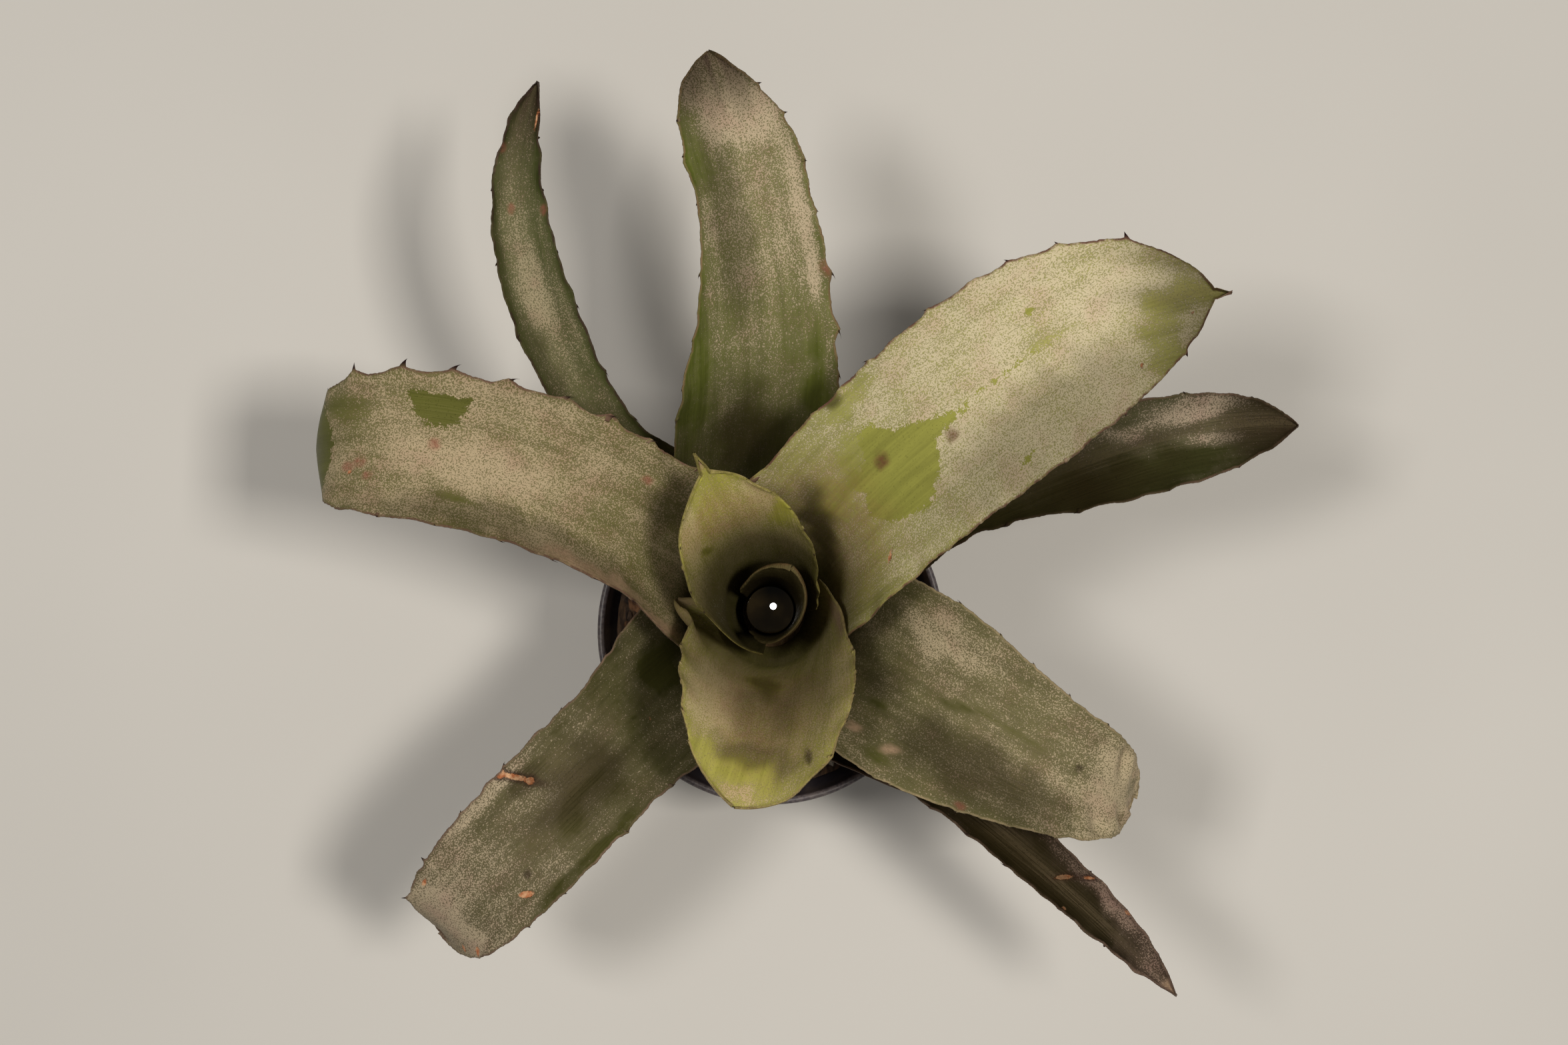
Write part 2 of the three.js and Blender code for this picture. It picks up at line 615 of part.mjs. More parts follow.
const plant = new THREE.Group();
plant.position.set(0, PLANT_Y, SOIL_LEVEL);
plant.rotation.x = toRadians(-PLANT_LEAN);
addPiece(plant, 'stem', stemGeometry(), 0x7a6848, 0.9);
addPiece(plant, 'cup_water', waterGeometry(), 0x4a5238, 0.05);
LEAVES.forEach((row, order) => {
  const name = `leaf_${String(order + 1).padStart(2, '0')}`;
  addPiece(plant, name, leafGeometry(row, order), row.color, 0.6);
});
model.add(plant);

export default model;
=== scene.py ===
"""A tank bromeliad in a round nursery pot: its looks, built round the part's own solids.

The leaves are worked out in millimetres about the plant's own axis, from the same rows of sizes as
the part's solids, and set in the row frame in metres. Marks on a leaf are placed by its share t
along the blade and its share v across it, from -1 at the right margin to 1 at the left one.
"""
import math

import bpy
import numpy as np
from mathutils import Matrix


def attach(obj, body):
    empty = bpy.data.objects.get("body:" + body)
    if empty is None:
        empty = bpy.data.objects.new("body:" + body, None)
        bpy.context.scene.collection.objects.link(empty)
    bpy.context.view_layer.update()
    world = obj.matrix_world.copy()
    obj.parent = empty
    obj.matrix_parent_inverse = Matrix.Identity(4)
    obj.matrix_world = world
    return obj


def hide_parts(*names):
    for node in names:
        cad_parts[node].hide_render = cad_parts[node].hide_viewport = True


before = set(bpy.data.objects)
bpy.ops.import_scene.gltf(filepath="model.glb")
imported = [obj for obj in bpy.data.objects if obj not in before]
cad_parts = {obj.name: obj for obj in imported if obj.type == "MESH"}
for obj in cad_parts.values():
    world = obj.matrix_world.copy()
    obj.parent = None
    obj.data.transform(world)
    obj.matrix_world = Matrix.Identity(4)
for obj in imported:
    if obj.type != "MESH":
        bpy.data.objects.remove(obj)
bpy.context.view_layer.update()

MM = 0.001
BODY = "root"

# The camera and the studio. The lens and its sensor are in millimetres, places and sizes in metres,
# the tilt in degrees and the power of the lamps in watts.
CAMERA_PLACE = (0.00385, 0.0182, 0.842)
CAMERA_TILT = 1.0
LENS = 60
SENSOR = 36
KEY_LAMP = dict(place=(0.34, 0.02, 1.28), target=(0.02, 0.02, 0.14), size=0.16, power=7.6,
                colour=(1.0, 0.95, 0.87))
FILL_LAMP = dict(place=(-0.34, 0.1, 1.28), target=(0, 0.02, 0.14), size=0.18, power=5.0,
                 colour=(1.0, 0.96, 0.9))
GLINT_SHIFT = (0.0017, 0.002)
GLINT_SIZE = 0.0038
GLINT_POWER = 0.006
WORLD_COLOUR = (1.0, 0.98, 0.93, 1)
WORLD_STRENGTH = 0.15
FLOOR_REACH = 4.0

# The pot and its filling, in millimetres.
POT_RIM_RADIUS = 50
POT_HEIGHT = 88
POT_FOOT_RADIUS = 35.5
POT_WALL = 1.5
POT_FLOOR = 2
BAND_HEIGHT = 12.5
BAND_STEP = 1.6
LIP_RADIUS = 1.0
DRAIN_HOLES = 8
DRAIN_RADIUS = 3.6
DRAIN_CIRCLE = 25
SOIL_LEVEL = 78
CHIP_SPREAD = 43.5
CHIP_REACH = 44.6
CLEARING_RADIUS = 24.5
CLEARING_SHIFT = 3.4

# The plant, in millimetres.
PLANT_Y = 5
CROWN_TOP = 6
SHEATH_CORE = 6.6
SHEATH_PITCH = 1.5
SHEATH_THICK = 1.0
BLADE_THICK = 1.5
TIP_THICK = 0.9
MARGIN_THICK = 0.6
MUCRO_HALF = 1.6
WAVE_LENGTH = 26
TOOTH_SINK = 0.7
WATER_LEVEL = 36
WATER_GAP = 0.65

# The plant's lean in radians, its slopes and its shares.
PLANT_LEAN = math.radians(-2.5)
CROWN_FALL = 0.4
SHEATH_FLARE = 0.03
SHEATH_FLARE_STEP = 0.06
CREASE = 0.1
MOUTH_SPAN = 0.12
CURL_PULL = 0.3
TOOTH_FOOT = 1.1

# Random wavy lines: height and wavelength in millimetres, and seed. Each leaf or margin adds its
# own number to the seed.
MARGIN_WAVES = (0.22, 7, 40)
MARGIN_NICKS = (0.09, 1.5, 90)
MARGIN_FLUTTER = (0.32, 12, 90)
CRINKLE_FOLDS = (1, 10, 7)
MARK_BEND_ALONG = (1.6, 12, 300)
MARK_BEND_ACROSS = (1.12, 12, 320)
CHIP_SEED = 8

# Youngest leaf first. Angles are in degrees and sizes in millimetres, as in the part's source.
# Lists run from the mouth to the tip, and a tooth is its place along the blade and its length.
LEAVES = [
    dict(azimuth=60, mouth=58, wrap=142, lap=-50, length=22, rise=[86, 82, 79, 77],
         width=16, channel=9, shoulder=0.9, point=[3, 0.7]),
    dict(azimuth=116, mouth=50, wrap=132, lap=14, length=65, rise=[86, 64, 54, 58],
         swing=[0, 0, 0, 6], width=27, channel=19.5, open=0.65, shoulder=0.38, point=[3, 0.9],
         mucro=8,
         teeth_left=[[0.4, 0.8], [0.49, 0.7], [0.58, 0.9], [0.66, 0.7], [0.75, 0.8]],
         teeth_right=[[0.42, 0.7], [0.52, 0.9], [0.61, 0.7], [0.7, 0.8], [0.78, 0.7]]),
    dict(azimuth=267, mouth=42, wrap=112, lap=13, length=71, rise=[82, 68, 50, 20],
         swing=[0, -3, -9, -20], width=27.8, channel=30, open=0.5, shoulder=0.3,
         point=[4.5, 0.65], ear=[0.07, 0.25, 10],
         teeth_left=[[0.36, 0.8], [0.46, 0.7], [0.57, 0.9], [0.67, 0.8], [0.78, 0.8]],
         teeth_right=[[0.34, 0.7], [0.44, 0.9], [0.55, 0.7], [0.65, 0.9], [0.76, 1], [0.86, 0.8]]),
    dict(azimuth=51, mouth=36, wrap=102, length=160, rise=[78, 42, 14, -8],
         swing=[0, -10, -19, -46], width=27, half=[1.25, 0.98, 1.01, 0.9], channel=60,
         shoulder=0.25, point=[8, 0.8], mucro=4,
         teeth_left=[[0.22, 3.4], [0.35, 1.1], [0.47, 1.7], [0.585, 1.6],
                     [0.71, 1.8], [0.775, 1.8], [0.86, 3]],
         teeth_right=[[0.38, 1], [0.5, 1], [0.625, 1.2], [0.757, 1.2], [0.9, 2.2]]),
    dict(azimuth=147.5, mouth=32, wrap=98, length=143, rise=[76, 44, 14, -5, -74],
         swing=[-4, 5, 23, 34], width=21.3, half=[0.95, 1, 1, 0.76], channel=45,
         point=[18, 0.7], curl_left=[9, 6, 4, -2.5], curl_right=[1.2, 1.2, 1.2, -3], shoulder=0.3,
         teeth_left=[[0.275, 2.6], [0.36, 2.4], [0.44, 2.2], [0.54, 1.8], [0.67, 0.8], [0.775, 1.2]],
         teeth_right=[[0.27, 2.2], [0.36, 2], [0.436, 3.6], [0.508, 3.8], [0.595, 4],
                      [0.684, 4.4], [0.76, 4.4], [0.85, 3.6], [0.94, 2.2]]),
    dict(azimuth=332, mouth=28, wrap=78, length=118, rise=[74, 40, 10, -20, -85],
         swing=[0, -5, 3, 15], width=25, half=[1.15, 1.12, 0.8, 0.66], channel=50,
         shoulder=0.3, wave=0.6,
         teeth_left=[[0.34, 1.6], [0.44, 0.8], [0.535, 1.1], [0.64, 1.1], [0.75, 0.8]],
         teeth_right=[[0.41, 0.9], [0.54, 1], [0.64, 1.1], [0.74, 0.8]]),
    dict(azimuth=93, mouth=20, wrap=80, lap=7, length=150, rise=[72, 36, 16, 0],
         swing=[0, -6, 8, 15], roll=[0, 5, 10, 10], width=17, half=[1.1, 1.05, 1, 1],
         left=[1, 0.95, 1.25, 1.47, 1.22, 0.98, 1.12, 1.45],
         right=[1, 1, 1.05, 1.05, 1.03, 1.02, 1.03, 0.7], channel=34, shoulder=0.5,
         point=[10, 0.8], wave=0.9,
         teeth_left=[[0.37, 1.6], [0.425, 1.1], [0.51, 1], [0.625, 1.8],
                     [0.745, 0.9], [0.83, 0.9], [0.89, 1.6]],
         teeth_right=[[0.425, 1.5], [0.5, 3.6], [0.59, 2.8], [0.69, 0.9],
                      [0.775, 1], [0.86, 1.6], [0.92, 1.6]]),
    dict(azimuth=221, mouth=20, wrap=74, length=129, rise=[68, 34, 6, -18, -85],
         swing=[0, 4, 5, 4], width=18.6, half=[1, 1, 0.98, 0.78], channel=45, point=[12, 0.8], wave=0.5,
         teeth_left=[[0.33, 1.2], [0.46, 1.2], [0.63, 1], [0.73, 1]],
         teeth_right=[[0.25, 1.4], [0.38, 1], [0.535, 1.6], [0.66, 1.2], [0.785, 1.8], [0.89, 2.4]]),
    dict(azimuth=26.7, mouth=17, wrap=62, length=140, rise=[60, 24, 6, -4],
         swing=[0, -3, -10, -28], width=16, half=[0.75, 0.85, 1.03, 1.12],
         left=[1, 1, 1, 0.95, 0.88, 1.05], right=[0.5, 0.5, 0.56, 0.93, 1.1, 1.05], channel=19,
         point=[6, 0.85],
         teeth_left=[[0.5, 0.9], [0.65, 0.8], [0.79, 1.3], [0.91, 0.6]],
         teeth_right=[[0.4, 2], [0.54, 2], [0.72, 0.8], [0.87, 1.1]]),
    dict(azimuth=131, mouth=14, wrap=60, length=153, rise=[56, 24, 8, 0],
         swing=[0, -1, -28, -62], width=12, half=[0.67, 0.8, 0.72, 0.68],
         right=[1, 0.9, 0.7, 0.92, 1.35, 1.3, 1.05, 1], channel=13, point=[8, 0.8],
         teeth_left=[[0.45, 1], [0.56, 0.8], [0.68, 1.1], [0.8, 0.8]],
         teeth_right=[[0.33, 2], [0.435, 2], [0.57, 1.6], [0.68, 1.2], [0.8, 0.9], [0.9, 0.6]]),
    dict(azimuth=311, mouth=12, wrap=57, length=135, rise=[52, 20, 2, -8],
         swing=[0, 10, 8, 0], width=11.5, half=[1.1, 1, 0.95, 0.9],
         left=[1, 1, 0.97, 0.9, 0.95, 1.05], right=[1, 1, 0.68, 0.72, 0.82, 0.95], channel=10.5,
         point=[5, 0.9],
         teeth_left=[[0.5, 0.8], [0.6, 0.7], [0.7, 0.8], [0.8, 0.7], [0.91, 0.6]],
         teeth_right=[[0.38, 1.6], [0.47, 2.2], [0.565, 2.2], [0.7, 1], [0.82, 0.7]]),
]

# What a leaf has where its row says nothing else.
PLAIN_LEAF = dict(
    swing=[0, 0], roll=[0, 0], half=[1, 1], left=[1, 1], right=[1, 1], point=[7, 0.8],
    shoulder=0.35, open=0.45, lap=0, mucro=0, ear=[1, 1, 0], wave=0.3,
    curl_left=[1.2, 1.2], curl_right=[1.2, 1.2], teeth_left=[], teeth_right=[],
)


def rgb(red, green, blue):
    """A colour of 0 to 255 as seen on a screen, as the linear colour that a shader takes."""
    shares = np.array([red, green, blue]) / 255
    linear = np.where(shares <= 0.04045, shares / 12.92, ((shares + 0.055) / 1.055) ** 2.4)
    return (*linear.tolist(), 1.0)


# What a leaf looks like. cover: scurf from the sheath to the tip. rim: width and strength of the
# barer band at the margins. dusk: share where the dark tip starts, and its strength.
# base_stain_and_shade: the share up to which the leaf is darkened fully, the share where the
# darkening ends, and its strength; the darkening is partly the tank water's brown tinge and partly
# painted shade of the recesses and of the leaves above. crinkle: share where the wavy end starts,
# and its height in millimetres.
LOOKS = [
    # leaf_01's green and scurf are darkened as painted shade, down in the tube.
    dict(green=rgb(60, 56, 30), scurf=rgb(84, 76, 48), cover=[0.5, 0.6], rim=[1, 0.1],
         base_stain_and_shade=[0.25, 1.1, 0.85], edge=rgb(80, 72, 44)),
    dict(green=rgb(168, 166, 66), scurf=rgb(200, 184, 136), cover=[0.6, 0.7, 0.75, 0.55, 0.35],
         rim=[3, 0.15], base_stain_and_shade=[0.34, 0.72, 0.84], edge=rgb(140, 130, 74)),
    dict(green=rgb(168, 164, 78), scurf=rgb(194, 176, 136), cover=[0.5, 0.6, 0.75, 0.6, 0.45],
         rim=[3, 0.2], base_stain_and_shade=[0.3, 0.75, 0.5], edge=rgb(140, 122, 84)),
    dict(green=rgb(152, 152, 74), scurf=rgb(210, 197, 166), cover=[0.45, 0.52, 0.8, 0.85, 0.6],
         rim=[1.5, 0.2], base_stain_and_shade=[0.06, 0.28, 0.5], dusk=[0.97, 0.7], edge=rgb(104, 70, 62)),
    dict(green=rgb(90, 92, 40), scurf=rgb(182, 164, 134), cover=[0.5, 0.58, 0.68, 0.68, 0.62],
         rim=[1.5, 0.2], base_stain_and_shade=[0.06, 0.2, 0.35], dusk=[0.97, 0.2], edge=rgb(104, 78, 66)),
    dict(green=rgb(84, 84, 44), scurf=rgb(188, 172, 142), cover=[0.35, 0.42, 0.46, 0.58, 0.9],
         rim=[1, 0.1], base_stain_and_shade=[0.1, 0.3, 0.4], dusk=[0.99, 0.1], edge=rgb(150, 134, 104),
         crinkle=[0.7, 0.9]),
    dict(green=rgb(90, 98, 40), scurf=rgb(192, 175, 148), cover=[0.2, 0.32, 0.5, 0.6, 0.8],
         rim=[2, 0.2], base_stain_and_shade=[0.26, 0.52, 0.75], dusk=[0.82, 1], edge=rgb(116, 96, 70)),
    dict(green=rgb(66, 66, 32), scurf=rgb(184, 168, 142), cover=[0.2, 0.28, 0.36, 0.58, 0.85],
         rim=[1.5, 0.1], base_stain_and_shade=[0, 0.2, 0.3], dusk=[0.9, 0.4], edge=rgb(110, 90, 76)),
    dict(green=rgb(60, 64, 32), scurf=rgb(180, 164, 142), cover=[0.05, 0.1, 0.2, 0.4, 0.3],
         rim=[1.5, 0.2], base_stain_and_shade=[0.56, 0.72, 0.8], dusk=[0.76, 1], edge=rgb(96, 76, 64)),
    dict(green=rgb(72, 80, 40), scurf=rgb(162, 150, 122), cover=[0.2, 0.3, 0.55, 0.45, 0.4],
         rim=[3, 0.35], base_stain_and_shade=[0.25, 0.5, 0.6], dusk=[0.74, 0.95], edge=rgb(62, 48, 42)),
    # leaf_11's green is darkened partly as painted shadow of leaf_06 above it.
    dict(green=rgb(34, 30, 16), scurf=rgb(154, 132, 116), cover=[0.05, 0.05, 0.1, 0.3, 0.6],
         rim=[1, 0.2], base_stain_and_shade=[0.55, 0.8, 0.5], dusk=[0.7, 0.3], edge=rgb(112, 92, 80)),
]

# The colour that a leaf's foot and its shade marks darken towards: the tank water's brown tinge and
# painted shade, and the colour of dark spots.
STAIN_AND_SHADE_COLOUR = rgb(34, 28, 13)
WAX_TINT = rgb(255, 226, 180)
DRY_SKIN = rgb(178, 150, 122)
BLUSH = rgb(146, 90, 74)
DUSK = rgb(34, 20, 20)
DUSK_DOTS = rgb(110, 88, 78)
SCAR_HALO = rgb(52, 30, 30)
DARK_CORK = rgb(178, 108, 70)
LIGHT_CORK = rgb(222, 174, 134)
SPINE_TIP = rgb(34, 19, 22)

# The marks on each blade, youngest leaf first, by kind: place t and v, half length, half breadth,
# and any turn in degrees from the blade's length to its left margin. A bare mark is rubbed clean,
# a half mark is the half of one towards the midrib, a scar is corky with a dark halo, and a nick
# has no halo. The others are soft: thin and pale change the scurf, shade darkens towards
# STAIN_AND_SHADE_COLOUR, blush reddens and ruddy reddens less, tan is the dry pinkish skin of a
# rolled margin, and dusk is purple-brown. Some shade marks are dark spots, dashes and strips on
# the leaf, and many are painted shade, as noted at each leaf.
MARKS = [
    {},
    dict(
        thin=[(0.48, 0.42, 2.4, 1.1, 40), (0.56, -0.8, 6, 4)],
        shade=[(0.48, 0.42, 2.4, 1.1, 40)],
        pale=[(0.64, 0.75, 9, 4), (0.68, -0.75, 9, 3), (0.75, 0.9, 10, 2)],
        tan=[(0.96, 0, 6, 4)],
        ruddy=[(0.6, 0, 8, 14)]),
    dict(
        thin=[(0.34, 0, 8, 4, 10), (0.87, -0.2, 4, 14)],
        # leaf_03's shade: an olive patch, painted shade over the left margin's half, a darker band
        # above the tip, and painted shade in the middle.
        shade=[(0.34, 0, 8, 3.6, 10), (0.58, 0.5, 22, 9), (0.79, 0, 4, 12), (0.58, 0, 16, 9)],
        ruddy=[(0.52, 0, 24, 14)],
        pale=[(0.58, -0.55, 14, 8), (0.95, -0.1, 3, 4)],
        dusk=[(0.77, 0.7, 2.4, 1, 20)],
        tan=[(0.09, -0.98, 4, 2), (0.16, 0.9, 7, 2.4)]),
    dict(
        ruddy=[(0.16, 0.1, 22, 24)],
        thin=[(0.24, 0.2, 8, 6), (0.33, 0.35, 9, 5, 30), (0.71, 0.1, 8, 1), (0.4, 0.85, 9, 3),
              (0.92, 0.1, 9, 4), (0.87, -0.5, 5, 9)],
        # leaf_04's shade: painted shadow of leaf_02 near the foot, two brown spots, and painted shade
        # over the drooping tip and the right half.
        shade=[(0.15, 0.12, 17, 5, 36), (0.15, 0.14, 14, 4, 36), (0.36, 0.16, 2.8, 1.8, 20),
               (0.488, -0.1, 2, 1.3), (1.03, 0, 28, 34), (1.02, -0.2, 22, 24), (0.68, -0.68, 46, 13)],
        blush=[(0.36, 0.16, 2.4, 1.6, 20), (0.488, -0.1, 1.8, 1.1)],
        bare=[(0.585, 0.05, 5, 0.3, 2), (0.63, 0.06, 4, 0.3), (0.7, 0.45, 1, 0.4, 30),
              (0.573, -0.76, 2, 0.6, 20)],
        nick=[(0.26, -0.62, 2.2, 0.6, 40), (0.82, -0.67, 0.9, 0.4, 60), (0.93, -0.4, 0.6, 0.4)],
        dusk=[(0.385, 0.97, 2.5, 2), (0.034, -0.59, 4, 3)],
        pale=[(0.83, 0.3, 12, 5)]),
    dict(
        half=[(0.698, -0.74, 7.4, 9)],
        blush=[(0.698, -0.09, 1.6, 1.6), (0.858, 0.34, 2, 1.4), (0.833, 0.25, 1.8, 1.2),
               (0.813, 0.43, 1.4, 1), (0.32, -0.54, 1.5, 1.2)],
        nick=[(0.852, 0.42, 0.9, 0.5, 30)],
        bare=[(0.985, 0.1, 11, 17)],
        thin=[(0.632, 0.565, 6.5, 0.9, -5), (0.86, -0.55, 6, 4)],
        pale=[(0.62, 0.1, 20, 6)],
        # leaf_05's shade is painted shade: near the foot, and over the half towards the left margin.
        shade=[(0.25, -0.4, 7, 8), (0.52, 0.74, 38, 5)],
        tan=[(0.36, 0.93, 17, 2.6), (0.2, 0.96, 9, 2)]),
    dict(
        thin=[(0.43, 0.1, 6, 1.2, 14), (0.56, 0.18, 9, 1, -3), (0.264, -0.31, 3, 0.8),
              (0.35, -0.79, 4, 2), (0.93, 0.3, 4, 2, 60), (0.93, -0.6, 3, 3)],
        dusk=[(0.737, 0.16, 1.2, 1)],
        tan=[(0.362, -0.65, 2.6, 1.4, 30), (0.262, -0.64, 2.2, 1.4)],
        blush=[(0.54, -0.93, 1.4, 1)],
        pale=[(0.9, 0.1, 14, 14), (0.33, 0.6, 15, 6)],
        shade=[(0.24, -0.1, 9, 5), (0.55, -0.55, 26, 9), (0.5, -0.4, 22, 8)]),
    dict(
        # leaf_07's shade: a darker band on the left half, painted shadow of leaf_02 and leaf_04 at the
        # foot, and a darker tip.
        shade=[(0.69, 0.42, 26, 6), (0.31, 0.2, 14, 7), (0.29, 0.1, 10, 10), (0.98, 0, 12, 16)],
        blush=[(0.597, -1, 2, 2)],
        # The first two pale marks are painted highlights on the rolled right margin.
        pale=[(0.579, -0.78, 6, 1.6), (0.449, -0.91, 5, 1.6), (0.7, -0.8, 16, 2), (0.88, -0.2, 8, 10)],
        thin=[(0.5, 0.95, 32, 5), (0.84, 0.85, 12, 5), (0.4, -0.75, 14, 4)]),
    dict(
        scar=[(0.535, -0.77, 4.9, 0.8, 118), (0.52, -0.57, 1.2, 1.1), (0.551, -0.97, 1.3, 1.2)],
        nick=[(0.691, 0.6, 2.4, 0.9, 139), (0.242, 0.03, 0.8, 0.6), (0.861, 0.86, 1.4, 0.9, 60),
              (0.905, 0.72, 1.2, 0.7, 60), (0.831, -0.82, 1.4, 0.6, 20)],
        thin=[(0.5, 0.2, 9, 3, 20), (0.58, 0.95, 20, 3), (0.14, -0.3, 8, 6)],
        shade=[(0.46, 0.05, 16, 10), (0.44, 0, 12, 8), (0.52, -0.6, 6, 3)],
        dusk=[(0.661, 0.38, 1.2, 1)],
        pale=[(0.87, 0.1, 5, 14), (0.6, -0.9, 16, 2)]),
    dict(
        pale=[(0.81, 0.7, 9, 4), (0.78, 0.45, 10, 2), (0.63, 0.4, 12, 3), (0.84, -0.2, 7, 2)],
        # The first two shade marks on leaf_09 are painted shade over its right half, which turns away
        # from the lamps under leaf_04.
        shade=[(0.64, -0.5, 18, 10), (0.66, -0.7, 26, 7), (0.74, 0.1, 12, 1.6), (0.95, 0, 12, 16),
               (0.97, 0, 16, 16)],
        thin=[(0.66, -0.6, 28, 7)]),
    dict(
        blush=[(0.874, 0.88, 1.4, 1.2), (0.77, 0.24, 1.4, 1.1), (0.763, -0.88, 1.5, 1)],
        nick=[(0.933, -0.81, 3, 0.4)],
        pale=[(0.64, 0, 16, 4)],
        shade=[(0.5, 0.8, 16, 5), (0.7, 0.95, 16, 2)]),
    dict(
        scar=[(0.706, 0.8, 1.6, 0.6, 50), (0.669, 0.16, 2.6, 0.8, 50)],
        nick=[(0.709, -0.86, 0.7, 0.5), (0.806, 0.96, 1, 0.5)],
        tan=[(0.985, 0, 3, 3)],
        pale=[(0.7, 0.85, 18, 3), (0.8, 0.8, 14, 3)],
        # leaf_11's shade marks are painted shadow of leaf_06 above it.
        shade=[(0.66, -0.6, 24, 8), (0.62, -0.1, 22, 7)],
        thin=[(0.7, -0.6, 24, 6)]),
]

# What the kinds of mark change, and by how much.
OUTLINE_OF = {"bare": "bare", "half": "bare", "scar": "scar", "nick": "nick"}
COVER_CHANGE = {"thin": -0.4, "pale": 0.35}
PEAK_OF = {"tan": ("tan", 1), "blush": ("blush", 1), "ruddy": ("blush", 0.4), "dusk": ("dusk", 0.8)}
SHADE = 0.45

# Marks from this half breadth on, in millimetres, get a wavy outline, apart from bare and half
# ones.
LARGE_MARK = 2.5

# The outline of the large bare patch on leaf_04, as [t, v] corners.
PATCH_LEAF = 3
PATCH = [[0.39, 0.54], [0.42, 0.3], [0.545, 0.01], [0.467, -0.02], [0.438, -0.27],
         [0.389, -0.51], [0.35, -0.48], [0.299, -0.38], [0.262, -0.16], [0.29, 0.02],
         [0.272, 0.16], [0.335, 0.26], [0.36, 0.5]]

# How finely the pieces are divided, the share of the blade where its last row of points lies, and
# the distance that stands for none.
SHEATH_ROWS = 36
BLADE_ROWS = 250
COLUMNS = 46
TIP_ROW = 0.9995
MARCH_STEPS = 1600
TOOTH_RINGS = 10
TOOTH_SIDES = 8
POT_SIDES = 160
WATER_SIDES = 96
CHIP_BANDS = 5
CHIP_SIDES = 7
FAR = 99.0


def smooth(x):
    """An eased step from 0 at 0 to 1 at 1."""
    x = np.clip(x, 0, 1)
    return x * x * (3 - 2 * x)


def blend(a, b, t):
    """The value a share t of the way from a to b."""
    return a + (b - a) * t


def along(values, t):
    """A smooth curve through evenly spaced values."""
    values = np.asarray(values, float)
    last = len(values) - 1
    x = np.clip(t, 0, 1) * last
    i = np.minimum(np.floor(x).astype(int), last - 1)
    f = x - i
    b = values[i]
    c = values[i + 1]
    a = np.where(i > 0, values[np.maximum(i - 1, 0)], 2 * b - c)
    d = np.where(i + 2 <= last, values[np.minimum(i + 2, last)], 2 * c - b)
    return 0.5 * (2 * b + (c - a) * f + (2 * a - 5 * b + 4 * c - d) * f * f
                  + (3 * b - a - 3 * c + d) * f ** 3)


def unit(vectors):
    return vectors / np.maximum(np.linalg.norm(vectors, axis=-1, keepdims=True), 1e-12)


def turn_about(vectors, axis, angle):
    """Vectors turned about unit axes."""
    cos = np.cos(angle)[..., None]
    sin = np.sin(angle)[..., None]
    dot = (vectors * axis).sum(-1, keepdims=True)
    return vectors * cos + np.cross(axis, vectors) * sin + axis * dot * (1 - cos)


def sheath_flare(order):
    return SHEATH_FLARE + SHEATH_FLARE_STEP * order


def sheath_radius(order, up):
    return SHEATH_CORE + SHEATH_PITCH * order + sheath_flare(order) * up


